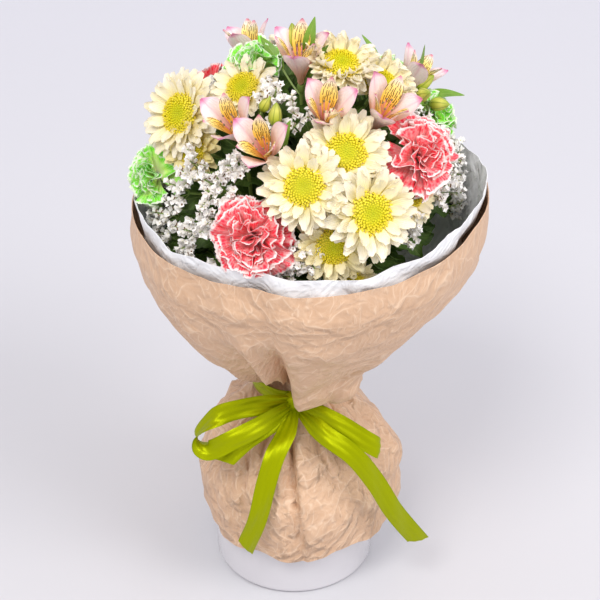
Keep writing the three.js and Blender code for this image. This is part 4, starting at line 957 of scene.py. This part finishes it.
def yellow_disc(index):
    """A disc: its ground, and 250 florets in a sunflower spiral, the golden angle apart.

    Each floret is a five-sided cup: open and tall near the rim, closed and short in the middle.
    """
    radius = MUMS[index][3]
    random = np.random.default_rng(60 + index)
    centre, matrix = bloom_centres[index], facing(bloom_axes[index])
    size = 0.49 * radius
    share = np.array([1, 1, 0.93, 0.8, 0.62, 0.42, 0.22, 0.06])
    height = np.concatenate([[0], disc_floor(share[1:])]) + 0.55
    ground = turned_at(list(zip(share * size * 0.97, height)), 24, centre, matrix, (0.2, 0, 0.5))
    count = 250
    k = np.arange(count)
    away = np.sqrt((k + 0.5) / count)
    angle = k * GOLDEN_ANGLE + random.uniform(-0.05, 0.05, count)
    foot = np.stack([away * size * np.cos(angle), away * size * np.sin(angle), disc_floor(away) + 0.45], -1)
    tilt = 0.75 * away ** 2 + random.uniform(-0.12, 0.12, count)
    axis = np.stack([np.sin(tilt) * np.cos(angle), np.sin(tilt) * np.sin(angle), np.cos(tilt)], -1)
    first = unit(np.cross(axis, np.array([0.3, 0.9, 0.1])))
    second = np.cross(axis, first)
    opened = np.clip((away - 0.35) / 0.3, 0, 1) * random.uniform(0.6, 1.0, count)
    tall = 0.9 + 1.1 * opened + random.uniform(-0.2, 0.3, count)
    mouth = size * 0.045 * (0.8 + 0.65 * opened)
    round5 = even_angles(5)
    spread = first[:, None] * np.cos(round5)[:, None] + second[:, None] * np.sin(round5)[:, None]
    base = foot[:, None] + spread * (size * 0.035)
    top = foot[:, None] + spread * mouth[:, None, None] + axis[:, None] * tall[:, None, None]
    pit = foot[:, None] + axis[:, None] * (tall + 0.35 - 0.9 * opened)[:, None, None]
    points = np.concatenate([base, top, pit], 1)
    ring = np.arange(5)
    after = np.roll(ring, -1)
    start = np.arange(count)[:, None, None] * 11
    wall = (start + np.stack([ring, after, after + 5, ring + 5], 1)).reshape(-1, 4)
    cup = (start + np.stack([ring + 5, after + 5, np.full(5, 10)], 1)).reshape(-1, 3)
    floor = start[:, 0] + ring[::-1]
    speck = random.uniform(0, 1, count)
    level = np.array([0] * 5 + [1] * 5 + [0.2])
    lay = triples(away[:, None], level, speck[:, None])
    florets = (centre + points @ matrix.T, [wall, cup, floor], lay, 0)
    return [ground, florets]


def mum_cup(index):
    """The green cup behind a head: a bowl of narrow bracts that overlap, so its wall goes in and out."""
    radius = MUMS[index][3]
    profile = [(1.4, -radius * 0.45), (radius * 0.14, -radius * 0.38), (radius * 0.26, -radius * 0.22),
               (radius * 0.31, -3.9), (radius * 0.1, -3.85)]
    matrix = facing(bloom_axes[index])
    return turned_at(profile, 24, bloom_centres[index], matrix, (0.5, 0.4, 0.3), ribs=0.06, count=8)


def petal_lines():
    """Node group of a petal: its length, width and chance from "lay", and fine lines along it as a height."""
    outputs = ("Height", "Length", "Width", "Chance")
    group, given, result = new_group("petal_lines", {"Count": 10.0}, outputs)
    part = lay_parts(group)
    wander = noise(group, own_place(group), 300.0, 2.0)
    turn = reckon(group, "MULTIPLY", part["Y"], given["Count"])
    turn = reckon(group, "ADD", turn, reckon(group, "MULTIPLY", wander, 2.5))
    lines = reckon(group, "SINE", reckon(group, "MULTIPLY", turn, 3.1416))
    height = reckon(group, "ADD", lines, wander)
    for name, value in zip(outputs, (height, part["X"], part["Y"], part["Z"])):
        group.links.new(value, result[name])
    return group


def ramp(tree, value, stops):
    """A colour read from a row of (place, colour) stops at a value."""
    made = node(tree, "ValToRGB", {"Fac": value})
    elements = made.color_ramp.elements
    for place, _ in stops[2:]:
        elements.new(place)
    for element, (place, shade) in zip(elements, stops):
        element.position = place
        element.color = shade
    return made.outputs["Color"]


lines_group = petal_lines()
cream_look, tree, shader = finish("cream_petal", Roughness=0.5, Specular_IOR_Level=0.3, Subsurface_Weight=0.2,
                                  Subsurface_Radius=(0.005, 0.0045, 0.0025), Subsurface_Scale=1.0)
petal = node(tree, "Group", {"Count": 7.0}, node_tree=lines_group).outputs
stops = [(0.0, colour(226, 210, 96)), (0.3, colour(248, 226, 126)), (0.46, colour(251, 238, 180)),
         (0.68, colour(250, 240, 209)), (1.0, colour(251, 243, 223))]
shade = ramp(tree, petal["Length"], stops)
shade = mixed(tree, reckon(tree, "MULTIPLY", petal["Chance"], 0.22), shade, colour(249, 226, 112))
shade = mixed(tree, reckon(tree, "MULTIPLY", petal["Height"], 0.06), shade, colour(226, 200, 130))
tree.links.new(shade, shader.inputs["Base Color"])
bumped(tree, shader, petal["Height"], 0.35, 0.0003)

disc_look, tree, shader = finish("yellow_florets", Roughness=0.55, Specular_IOR_Level=0.3,
                                 Subsurface_Weight=0.4, Subsurface_Radius=(0.003, 0.0025, 0.0006),
                                 Subsurface_Scale=1.0)
part = lay_parts(tree)
stops = [(0.0, colour(186, 196, 30)), (0.3, colour(212, 210, 34)), (0.52, colour(240, 222, 44)),
         (1.0, colour(250, 224, 74))]
shade = ramp(tree, part["X"], stops)
# Painted shade: each floret is a deeper gold at its foot and in its pit, down between the florets and inside
# its mouth.
low = reckon(tree, "MULTIPLY", reckon(tree, "SUBTRACT", 1.0, part["Y"]), 0.2)
shade = mixed(tree, low, shade, colour(206, 168, 8))
outer = reckon(tree, "GREATER_THAN", part["X"], 0.45)
brown = reckon(tree, "MULTIPLY", reckon(tree, "LESS_THAN", part["Z"], 0.09), outer)
brown = reckon(tree, "MULTIPLY", brown, reckon(tree, "LESS_THAN", part["Y"], 0.5))
shade = mixed(tree, brown, shade, colour(70, 58, 10))
tree.links.new(shade, shader.inputs["Base Color"])
pollen = noise(tree, own_place(tree), 2500.0, 2.0)
bumped(tree, shader, pollen, 0.4, 0.0003)

for index in range(len(MUMS)):
    number = f"{index + 1:02d}"
    head = [cream_petals(index), cream_hub(index)]
    put(f"cream_petals_{number}", head, [cream_look], "cream_petal", [f"chrysanthemum_{number}_petals"])
    disc = yellow_disc(index)
    put(f"florets_{number}", disc, [disc_look], "yellow_disc", [f"chrysanthemum_{number}_disc"], sharp=40)


def head_of(at, depth, axis=None):
    """A head's approach and end on its axis: the end is a depth behind its face, the approach behind that."""
    azimuth, latitude, lift, radius = at[:4]
    axis = dome_normal(azimuth, latitude) if axis is None else axis
    end = dome_point(azimuth, latitude, lift) - axis * depth * radius
    return end - axis * radius * 1.1, end


all_paths = []
for number, (key, (slot, leaves)) in enumerate(MUM_STEMS.items()):
    own = [i for i, mum in enumerate(MUMS) if mum[4] == key]
    stalk, twigs = branches(slot, [head_of(MUMS[i], 0.2) for i in own])
    all_paths += [stalk, twigs]
    shapes = stem_shapes(stalk, twigs) + [mum_cup(i) for i in own]
    for i, (azimuth, latitude, lift, length, width) in enumerate(leaves):
        shapes += lobed_leaf([stalk, twigs], (azimuth, latitude, lift), length, width, 10 * number + i)
    put(f"mum_stem_{key}", shapes, [stem_look, mum_leaf_look], "leaf_green", [f"chrysanthemum_stem_{key}"])


# Carnations: three coral pink ones and four green ones with white edges. The petals are fans with a
# saw-toothed and ruffled rim, packed in layers out of a green calyx on a stalk of their own.
FRILL_THICKNESS = 0.35


def frilled_petals(index, bloom):
    """A carnation's petals in six layers of fans about a point 0.28 radii behind the face.

    A layer is given as count, rise, reach and spread. A petal's points lie along rays from that point.
    Ruffles move them square to the fan, growing with the square of the way out, and the rim's reach goes in
    and out in teeth.
    """
    radius = bloom[3]
    random = np.random.default_rng(90 + index)
    centre, matrix = bloom_centres[len(MUMS) + index], facing(bloom_axes[len(MUMS) + index])
    layers = [(7, 10, 1.02, 0.56), (7, 25, 1.0, 0.56), (6, 40, 0.95, 0.58), (6, 55, 0.88, 0.6),
              (5, 69, 0.8, 0.66), (4, 83, 0.74, 0.8)]
    table = petal_table(layers)
    count = len(table)
    turns = table[:, 0] + random.uniform(-0.35, 0.35, count)
    rise = np.radians(table[:, 1] + random.uniform(-11, 11, count))
    reach = radius * table[:, 2] * random.uniform(0.88, 1.06, count)
    rise = rise + petal_bend(centre, matrix, turns, reach, rise - 0.25, len(MUMS) + index)
    spread = table[:, 3] * random.uniform(0.85, 1.3, count)
    u = np.linspace(0.14, 1, 9)[None, :, None]
    v = np.linspace(-1, 1, 29)[None, None]
    turns, rise, reach, spread = (x[:, None, None] for x in (turns, rise, reach, spread))
    phase = random.uniform(0, 6.28, (4, count, 1, 1))
    size = random.uniform(0.7, 1.3, (2, count, 1, 1))
    inner = np.sin(rise)
    teeth = 0.02 * zigzag(v * 6 + phase[0]) + 0.04 * np.sin(v * 3.5 + phase[1])
    out = reach * u * (1 + teeth * u ** 5 - 0.08 * v ** 2 * u ** 2)
    ruffle = (0.13 + 0.06 * inner) * size[0] * np.sin(v * 3.8 + phase[2]) * u ** 2
    ruffle = ruffle + 0.09 * size[1] * np.sin(v * 8.5 + phase[3] + 3 * u) * u ** 3
    ruffle = ruffle + 0.02 * np.sin(v * 19 + phase[0]) * u ** 5
    fan = spread * v * (1 - 0.25 * inner * u)
    curl = rise - 0.22 * (1 - inner) * u ** 3
    x = out * np.cos(fan) * np.cos(curl) - reach * ruffle * np.sin(curl)
    z = out * np.cos(fan) * np.sin(curl) + reach * ruffle * np.cos(curl) - 0.28 * radius
    y = out * np.sin(fan)
    local = turned_points(x, y, z, turns)
    lay = triples(u, v, random.uniform(0, 1, (count, 1, 1)))
    return thin_bodies(centre + local @ matrix.T, FRILL_THICKNESS, lay)


def carnation_stem(index, bloom):
    """A carnation's stalk, and its calyx: a tall green cup with five teeth round its mouth."""
    radius = bloom[3]
    bundle = bundle_points(*bloom[4])
    approach, end = head_of(bloom, 0.6)
    stalk = smooth_path(np.vstack([bundle, (bundle[-1] + approach) / 2, approach, end]), 34)
    profile = [(2.6, -radius * 1.05), (3.4, -radius * 1.03), (radius * 0.15, -radius * 0.8),
               (radius * 0.24, -radius * 0.44), (radius * 0.1, -radius * 0.43)]
    centre, matrix = bloom_centres[index], facing(bloom_axes[index])
    calyx = turned_at(profile, 20, centre, matrix, (0.5, 0.3, 0.5), look=1, ribs=0.05)
    return [(*tubes(stalk[None], 2.6, 9)[:3], 1), calyx], stalk


def frilled_finish(name, base, body, deep, rim):
    """Carnation petal: pale at the claw, fuller and deepest near the rim, with a thin pale edge and rays."""
    material, tree, shader = finish(name, Roughness=0.6, Specular_IOR_Level=0.2, Subsurface_Weight=0.12,
                                    Subsurface_Radius=(0.004, 0.002, 0.002), Subsurface_Scale=1.0)
    petal = node(tree, "Group", {"Count": 16.0}, node_tree=lines_group).outputs
    blur = noise(tree, own_place(tree), 260.0, 2.0)
    drift = reckon(tree, "MULTIPLY", reckon(tree, "SUBTRACT", blur, 0.5), 0.12)
    along = reckon(tree, "ADD", petal["Length"], drift)
    stops = [(0.2, base), (0.62, body), (0.84, deep), (0.93, deep), (0.967, rim), (1.0, rim)]
    shade = ramp(tree, along, stops)
    pale = node(tree, "MapRange", {"Value": blur, "From Min": 0.45, "From Max": 0.75}).outputs["Result"]
    shade = mixed(tree, reckon(tree, "MULTIPLY", pale, 0.7), shade, base)
    rays = reckon(tree, "MULTIPLY", reckon(tree, "MAXIMUM", petal["Height"], 0.0), 0.12)
    shade = mixed(tree, rays, shade, rim)
    tree.links.new(shade, shader.inputs["Base Color"])
    bumped(tree, shader, petal["Height"], 0.3, 0.0003)
    return material


coral_look = frilled_finish("coral_petal", colour(255, 222, 214), colour(255, 146, 148), colour(255, 58, 80),
                            colour(255, 244, 240))
lime_look = frilled_finish("lime_petal", colour(252, 254, 206), colour(218, 251, 126), colour(128, 232, 46),
                           colour(248, 254, 236))
for index, (name, bloom) in enumerate(CARNATIONS.items()):
    stem, stalk = carnation_stem(len(MUMS) + index, bloom)
    all_paths.append(stalk)
    petals = frilled_petals(index, bloom)
    where = name.split("_")[1]
    if name.startswith("pink"):
        put(f"coral_petals_{where}", [petals], [coral_look], "coral_petal", [f"carnation_{name}_petals"])
        stem = [(*shape[:3], 0) for shape in stem]
        put(f"carnation_stalk_{where}", stem, [stem_look], "leaf_green", [f"carnation_{name}_stem"])
    else:
        looks = [lime_look, stem_look]
        put(f"lime_carnation_{where}", [petals, *stem], looks, "lime_petal", [f"carnation_{name}"])

# Alstroemeria: seven open funnels of six tepals, on three branched stems with lance leaves and ribbed buds.
# The three outer tepals are broad and blush white, the three inner ones narrow, golden and dashed with brown.
LILIES = [(-105, 79, 8, 22, "top"), (-132, 50, 2, 21, "left"), (-110, 45, 8, 22, "left"),
          (-80, 58, 4, 21, "top"), (-45, 54, 4, 22, "top"), (19, 48, 2, 20, "right"),
          (132, 58, 2, 21, "right")]
LILY_STEMS = {
    "left": ((1, 240), [(-100, 55, 6, 34, 9), (-150, 56, 0, 32, 9)],
             [(-110, 60, 8, 17, 9), (-118, 63, 4, 14, 8)]),
    "top": ((1, 0), [(-75, 84, 34, 30, 8), (-55, 80, 16, 30, 8), (160, 74, 12, 30, 8)],
            [(-140, 84, 27, 19, 9)]),
    "right": ((2, 60), [(20, 52, 26, 38, 9), (8, 36, 22, 38, 10), (50, 62, 10, 34, 9)],
              [(12, 46, 14, 18, 10), (-12, 49, 12, 18, 10), (-2, 40, 12, 18, 10), (16, 41, 4, 34, 15)]),
}
OUTER_TEPAL = [(0.05, -1.05, 0.03), (0.25, -0.5, 0.14), (0.55, 0.15, 0.41), (0.82, 0.58, 0.36),
               (1.0, 0.84, 0.04)]
INNER_TEPAL = [(0.03, -1.0, 0.03), (0.17, -0.45, 0.1), (0.38, 0.25, 0.28), (0.58, 0.7, 0.24),
               (0.72, 0.98, 0.03)]
lily_centres = np.array([dome_point(*lily[:3]) for lily in LILIES])


def lily_axis(lily):
    """A funnel's axis: between straight out of the dome and straight up, nodding to the front."""
    return unit(dome_normal(*lily[:2]) + 0.35 * UP + 0.15 * FRONT)


def tepal(spine, radius, turn, random):
    """A tepal's surface: its middle line and half width are smooth curves through the spine, in radii.

    Its edges rise by a share of the width, and it is ruffled a little at the rim.
    """
    size = radius * random.uniform(0.95, 1.04)
    x, z, half = (smooth_path(spine, 15) * size).T[..., None]
    v = np.linspace(-1, 1, 9)
    u = np.linspace(0, 1, 15)[:, None]
    lift = half * 0.3 * v ** 2 + 0.03 * size * np.sin(v * 3 + random.uniform(0, 6)) * u ** 2
    slope = np.arctan2(np.gradient(z[:, 0]), np.gradient(x[:, 0]))[:, None]
    x, z = x - lift * np.sin(slope), z + lift * np.cos(slope)
    y = half * v + 0.05 * size * random.uniform(-1, 1) * u
    lay = triples(u, v, random.uniform(0, 1))
    return turned_points(x, y, z + 0 * y, turn), lay


def lily_bloom(index):
    """A funnel: three outer and three inner tepals, six stamens with anthers, and the foot they grow from."""
    lily = LILIES[index]
    radius = lily[3]
    random = np.random.default_rng(150 + index)
    centre, matrix = dome_point(*lily[:3]), facing(lily_axis(lily))
    shapes = []
    for look, spine, first in ((0, OUTER_TEPAL, 15), (1, INNER_TEPAL, 75)):
        turns = np.radians(first + np.array([0, 120, 240]) + random.uniform(-6, 6, 3))
        made = [tepal(spine, radius, turn, random) for turn in turns]
        surface, lay = (np.stack(part) for part in zip(*made))
        shapes.append(thin_bodies(centre + surface @ matrix.T, PETAL_THICKNESS, lay, look))
    angle = np.arange(6) * 1.047 + random.uniform(-0.2, 0.2, 6)
    out = np.array([0.02, 0.1, 0.18, 0.22])[:, None] * radius
    up = np.array([-0.9, -0.3, 0.15, 0.4])[:, None] * radius * random.uniform(0.85, 1.1, 6)
    stamens = np.stack([out * np.cos(angle), out * np.sin(angle), up + 0 * out], -1).swapaxes(0, 1)
    shapes.append(tubes(centre + stamens @ matrix.T, 0.35, 5, (0.9, 0, 0.5), 0))
    anthers = stamens[:, -1:] + np.array([[0, 0, -1.2], [0, 0, 0], [0.2, 0, 1.4]])
    shapes.append(tubes(centre + anthers @ matrix.T, np.array([0.35, 0.8, 0.35]), 6, (0.9, 0, 0.5), 2))
    foot = [(0.8, -radius), (2.2, -radius * 0.98), (radius * 0.13, -radius * 0.7), (1, -radius * 0.55)]
    shapes.append(turned_at(foot, 12, centre, matrix, (0.1, 0, 0.5), 0))
    return shapes


def ribbed_bud(paths, at, length, width, seed):
    """A bud: a turned spindle with six ribs, widest nearer its foot, on a thin stalk."""
    root, foot, long, basis = growth(paths, at, length)
    u = np.array([0, 0.04, 0.15, 0.32, 0.5, 0.68, 0.84, 0.95, 1])
    half = width / 2 * np.array([0.2, 0.35, 0.78, 1, 0.95, 0.78, 0.52, 0.24, 0.06])
    matrix = facing(basis[:, 0])
    points, faces, _, _ = turned_at(list(zip(half, u * long)), 18, foot, matrix, ribs=0.07, count=6)
    angle = np.arange(18) / 18
    lay = triples(u[:, None], angle, 0.3 + 0.05 * (seed % 9))
    return [(points, faces, lay, 2), leaf_stalk(root, foot, basis)]


blush_look, tree, shader = finish("blush_tepal", Roughness=0.45, Specular_IOR_Level=0.35, Sheen_Weight=0.15,
                                  Subsurface_Weight=0.15, Subsurface_Radius=(0.005, 0.003, 0.003),
                                  Subsurface_Scale=1.0)
petal = node(tree, "Group", {"Count": 9.0}, node_tree=lines_group).outputs
stops = [(0.0, colour(214, 148, 92)), (0.3, colour(244, 186, 156)), (0.55, colour(254, 230, 222)),
         (0.8, colour(254, 230, 231)), (0.92, colour(232, 144, 180)), (1.0, colour(196, 80, 128))]
shade = ramp(tree, petal["Length"], stops)
rib = reckon(tree, "POWER", reckon(tree, "SUBTRACT", 1.0, reckon(tree, "ABSOLUTE", petal["Width"])), 7.0)
rib = reckon(tree, "MULTIPLY", rib, reckon(tree, "MULTIPLY", petal["Length"], 0.5))
shade = mixed(tree, rib, shade, colour(226, 110, 150))
side = reckon(tree, "POWER", reckon(tree, "ABSOLUTE", petal["Width"]), 3.0)
side = reckon(tree, "MULTIPLY", side, reckon(tree, "MULTIPLY", petal["Length"], 0.45))
shade = mixed(tree, side, shade, colour(236, 158, 190))
tree.links.new(shade, shader.inputs["Base Color"])
bumped(tree, shader, petal["Height"], 0.25, 0.0003)

gold_look, tree, shader = finish("golden_tepal", Roughness=0.45, Specular_IOR_Level=0.35)
petal = node(tree, "Group", {"Count": 7.0}, node_tree=lines_group).outputs
stops = [(0.0, colour(226, 150, 90)), (0.3, colour(248, 192, 96)), (0.5, colour(253, 212, 92)),
         (0.7, colour(254, 228, 140)), (0.86, colour(253, 236, 214)), (1.0, colour(224, 128, 160))]
shade = ramp(tree, petal["Length"], stops)
where = node(tree, "CombineXYZ", {0: petal["Length"], 1: petal["Width"], 2: petal["Chance"]})
fine = node(tree, "Mapping", {"Vector": where.outputs["Vector"], "Scale": (7, 3.4, 5)}).outputs["Vector"]
spots = node(tree, "TexVoronoi", {"Vector": fine, "Scale": 1.0, "Randomness": 0.75}).outputs["Position"]
apart = node(tree, "VectorMath", {0: fine, 1: spots}, operation="SUBTRACT").outputs["Vector"]
apart = node(tree, "SeparateXYZ", {"Vector": apart}).outputs
thin = reckon(tree, "LESS_THAN", reckon(tree, "ABSOLUTE", apart["Y"]), 0.13)
short = reckon(tree, "LESS_THAN", reckon(tree, "ABSOLUTE", apart["X"]), 0.42)
zone = reckon(tree, "MULTIPLY", reckon(tree, "GREATER_THAN", petal["Length"], 0.4),
              reckon(tree, "LESS_THAN", petal["Length"], 0.88))
dashes = reckon(tree, "MULTIPLY", reckon(tree, "MULTIPLY", thin, short), zone)
shade = mixed(tree, dashes, shade, colour(84, 34, 24))
tree.links.new(shade, shader.inputs["Base Color"])
bumped(tree, shader, petal["Height"], 0.25, 0.0003)

anther_look, tree, shader = finish("grey_anther", Roughness=0.8)
dust = noise(tree, own_place(tree), 1500.0, 2.0)
tree.links.new(mixed(tree, dust, colour(126, 110, 92), colour(168, 152, 120)), shader.inputs["Base Color"])

bud_look, tree, shader = finish("ribbed_bud", Roughness=0.42, Specular_IOR_Level=0.4)
part = lay_parts(tree)
stops = [(0.0, colour(120, 148, 40)), (0.35, colour(178, 188, 60)), (0.7, colour(206, 204, 92)),
         (1.0, colour(140, 160, 52))]
shade = ramp(tree, part["X"], stops)
turn = reckon(tree, "SINE", reckon(tree, "MULTIPLY", part["Y"], 6 * 6.2832))
stripe = reckon(tree, "POWER", reckon(tree, "MAXIMUM", turn, 0.0), 6.0)
shade = mixed(tree, reckon(tree, "MULTIPLY", stripe, 0.6), shade, colour(92, 116, 26))
tree.links.new(shade, shader.inputs["Base Color"])
bumped(tree, shader, stripe, 0.25, 0.0004)

looks = [blush_look, gold_look, anther_look]
for index in range(len(LILIES)):
    number = f"{index + 1:02d}"
    put(f"funnel_{number}", lily_bloom(index), looks, "blush_petal", [f"alstroemeria_{number}_bloom"])
for number, (key, (slot, leaves, buds)) in enumerate(LILY_STEMS.items()):
    own = [lily for lily in LILIES if lily[4] == key]
    stalk, twigs = branches(slot, [head_of(lily, 1.15, lily_axis(lily)) for lily in own])
    all_paths += [stalk, twigs]
    shapes = stem_shapes(stalk, twigs)
    for lily in own:
        ovary = [(1.3, -1.4), (2.2, -1.34), (3, -1.15), (2.4, -1.04), (1, -1.03)]
        ovary = [(thick, level * lily[3]) for thick, level in ovary]
        centre, matrix = dome_point(*lily[:3]), facing(lily_axis(lily))
        shapes.append(turned_at(ovary, 14, centre, matrix, (0.5, 0.4, 0.3), ribs=0.06, count=6))
    for i, (*at, length, width) in enumerate(leaves):
        shapes += lance_leaf([stalk, twigs], at, length, width, 200 + 10 * number + i)
    for i, (*at, length, width) in enumerate(buds):
        shapes += ribbed_bud([stalk, twigs], at, length, width, i)
    looks = [stem_look, lily_leaf_look, bud_look]
    put(f"lily_stem_{key}", shapes, looks, "leaf_green", [f"alstroemeria_stem_{key}"])

# Statice: four sprays of small white papery cups with crinkled mouths, in bunches at the ends of green twigs.
# Each bunch has a place on the dome and a reach, from its root to its florets' mouths.
STATICE = {
    "left": ((2, 210), [(-146, 31, 2, 17), (-128, 29, 2, 16), (-124, 38, 2, 13), (-139, 10, 0, 17),
                        (-129, 18, 0, 15), (-146, -2, -4, 15)]),
    "front": ((2, 270), [(-93, 12, -3, 14), (-101, 2, -6, 13), (-86, -3, -6, 12)]),
    "right": ((2, 0), [(-50, 17, -4, 17), (6, 22, 2, 18), (-28, 22, -4, 14), (36, 12, 0, 16)]),
    "back": ((2, 150), [(-123, 66, 2, 15), (166, 52, -4, 14), (150, 12, 0, 18)]),
}


def papery_bunch(bunch, seed, stalks=7, each=8, sides=10):
    """A bunch: short curved stalks from the twig's end, each with florets along its outer half.

    A floret is a crinkled funnel of four rings: its foot, a mouth with a lobe on every second side, and the
    sunk inside.
    """
    azimuth, latitude, lift, reach = bunch
    random = np.random.default_rng(seed)
    out = dome_normal(azimuth, latitude)
    matrix = facing(out)
    foot = dome_point(azimuth, latitude, lift) - out * reach
    k = np.arange(stalks)
    tilt = 1.0 * np.sqrt((k + 0.3) / stalks) + random.uniform(-0.1, 0.1, stalks)
    angle = k * GOLDEN_ANGLE + random.uniform(0, 6)
    axis = np.stack([np.sin(tilt) * np.cos(angle), np.sin(tilt) * np.sin(angle), np.cos(tilt)], -1)
    long = reach * random.uniform(0.85, 1.25, stalks)[:, None, None]
    bow = unit(random.normal(size=(stalks, 1, 3))) * reach * 0.12
    share = np.linspace(0, 1, 7)[None, :, None]
    paths = axis[:, None] * long * share + bow * np.sin(math.pi * share)
    spread = np.linspace(0.5, 1.02, each)[None, :, None]
    sites = axis[:, None] * long * spread + bow * np.sin(math.pi * spread)
    aside = unit(np.cross(axis, np.array([0.3, 0.2, 0.9])))[:, None]
    way = np.where(np.arange(each) % 2, 1, -1)[None, :, None]
    turned = random.normal(0, 0.45, (stalks, each, 3))
    facing_out = axis[:, None] * 0.8 + aside * way * 0.7 + np.array([0, 0, 0.5]) + turned
    facing_out = unit(facing_out).reshape(-1, 3)
    sites = (sites + aside * way * 1.4).reshape(-1, 3)
    count = stalks * each
    first = unit(np.cross(facing_out, np.array([0.4, 0.9, 0.2])))
    second = np.cross(facing_out, first)
    turn = even_angles(sides)
    ring = first[:, None] * np.cos(turn)[:, None] + second[:, None] * np.sin(turn)[:, None]
    width = random.uniform(1.7, 2.7, (count, 1, 1))
    lobes = 1 + 0.2 * np.where(np.arange(sides) % 2, 1, -1)[None, :, None]
    lobes = lobes + random.uniform(-0.16, 0.16, (count, sides, 1))
    curl = random.uniform(-0.7, 0.7, (count, sides, 1))
    levels = [(-1.2, 0.2, 0), (3.1, 1, 1), (2.3, 0.55, 1), (1.2, 0.12, 0)]
    points = np.stack([
        sites[:, None] + facing_out[:, None] * (level + waved * share_out * curl)
        + ring * width * (share_out * (lobes if waved else 1)) for level, share_out, waved in levels
    ], 1)
    start = np.arange(count)[:, None] * 4 * sides
    wall = (start[..., None] + grid_faces(4, sides, closed=True)[:, ::-1]).reshape(-1, 4)
    end = np.arange(sides)
    caps = [start + end[::-1], start + 3 * sides + end]
    height = np.array([0, 1, 0.9, 0.1])[None, :, None]
    side = np.broadcast_to(np.array([0, 1, 1, 0.5])[None, :, None], (count, 4, sides))
    lay = triples(height, side, random.uniform(0, 1, (count, 1, 1)))
    cups = (foot + points @ matrix.T, [wall, *caps], lay, 0)
    return [cups, tubes(foot + paths @ matrix.T, 0.5, 4, (0.5, 0.5, 0.5), 1)]


papery_look, tree, shader = finish("papery_white", Roughness=0.7, Specular_IOR_Level=0.2,
                                   Subsurface_Weight=0.15, Subsurface_Radius=(0.003, 0.0028, 0.0024),
                                   Subsurface_Scale=1.0)
part = lay_parts(tree)
stops = [(0.0, colour(182, 182, 124)), (0.3, colour(234, 226, 204)), (0.6, colour(250, 246, 239)),
         (1.0, colour(254, 251, 247))]
shade = ramp(tree, part["X"], stops)
cloud = noise(tree, own_place(tree), 700.0, 2.0)
shade = mixed(tree, reckon(tree, "MULTIPLY", cloud, 0.16), shade, colour(222, 214, 206))
dry = reckon(tree, "LESS_THAN", part["Z"], 0.3)
dry = reckon(tree, "MULTIPLY", dry, reckon(tree, "LESS_THAN", part["X"], 0.5))
dry = reckon(tree, "MULTIPLY", dry, reckon(tree, "GREATER_THAN", part["Y"], 0.3))
shade = mixed(tree, dry, shade, colour(120, 84, 60))
tree.links.new(shade, shader.inputs["Base Color"])
bumped(tree, shader, cloud, 0.4, 0.0004)
for number, (key, (slot, bunches)) in enumerate(STATICE.items()):
    heads = [head_of(bunch, 1.0) for bunch in bunches]
    stalk, twigs = branches(slot, heads)
    all_paths += [stalk, twigs]
    shapes = [(*shape[:3], 1) for shape in stem_shapes(stalk, twigs)]
    for i, bunch in enumerate(bunches):
        shapes += papery_bunch(bunch, 300 + 20 * number + i)
    put(f"papery_spray_{key}", shapes, [papery_look, stem_look], "papery_white", [f"statice_{key}"])


# Filling: dark leaves and small bunches of statice low between the heads, as a florist packs them. They close
# the view into the bunch. Their thin stalks grow from the stems above the neck.
def spiral_places(count, top, low):
    """Azimuths and latitudes of a sunflower spiral over the dome, from a top to a low sine of latitude."""
    k = np.arange(count)
    latitude = np.degrees(np.arcsin(top - (top - low) * (k + 0.5) / count))
    return list(zip(np.degrees(k * GOLDEN_ANGLE) % 360, latitude))


def over_ledge(azimuth, latitude):
    """Whether a place is low at the right front, where the tissue comes further in."""
    return latitude < 12 and abs((azimuth + 210) % 360 - 180) < 34


def filling_leaves():
    """Leaves at spiral places that are clear of the heads' middles, and a ring of them along the tissue."""
    shapes = []
    for number, (azimuth, latitude) in enumerate(spiral_places(172, 0.995, -0.03)):
        apart = np.linalg.norm(bloom_centres - dome_point(azimuth, latitude, -8), axis=1)
        if (apart > 0.75 * bloom_radii).all() and not over_ledge(azimuth, latitude):
            at = azimuth, latitude, -15 - 6 * (number % 3)
            shapes += lobed_leaf(all_paths, at, 38, 24, 500 + number, 14, 7)
    for number in range(34):
        azimuth = number * 360 / 34
        at = azimuth, -6 + 4 * (number % 3), -24 if over_ledge(azimuth, 0) else -4
        shapes += lobed_leaf(all_paths, at, 34, 24, 700 + number, 14, 7)
    return shapes


def filling_statice():
    """Bunches of statice at spiral places that are clear of the heads and of each other."""
    others = [dome_point(*bunch[:3]) for _, bunches in STATICE.values() for bunch in bunches]
    shapes = []
    for number, (azimuth, latitude) in enumerate(spiral_places(170, 0.97, -0.04)):
        at, out = dome_point(azimuth, latitude, -3), dome_normal(azimuth, latitude)
        apart = np.linalg.norm(bloom_centres - at, axis=1)
        clear = (apart > 0.92 * bloom_radii + 3).all() and not over_ledge(azimuth, latitude)
        clear = clear and (np.linalg.norm(lily_centres - at, axis=1) > 17).all()
        if clear and np.linalg.norm(np.array(others) - at, axis=1).min() > 20:
            others.append(at)
            shapes += papery_bunch((azimuth, latitude, -2, 16), 800 + number, 5, 6, 8)
            path = smooth_path([nearest(all_paths, at, out * 40), at - out * 15], 6)
            shapes.append(tubes(path[None], 1.0, 6, (0.5, 0.5, 0.5), 1))
    return shapes


put("filling_statice", filling_statice(), [papery_look, stem_look], "papery_white")
put("filling_leaves", filling_leaves(), [stem_look, mum_leaf_look], "leaf_green")
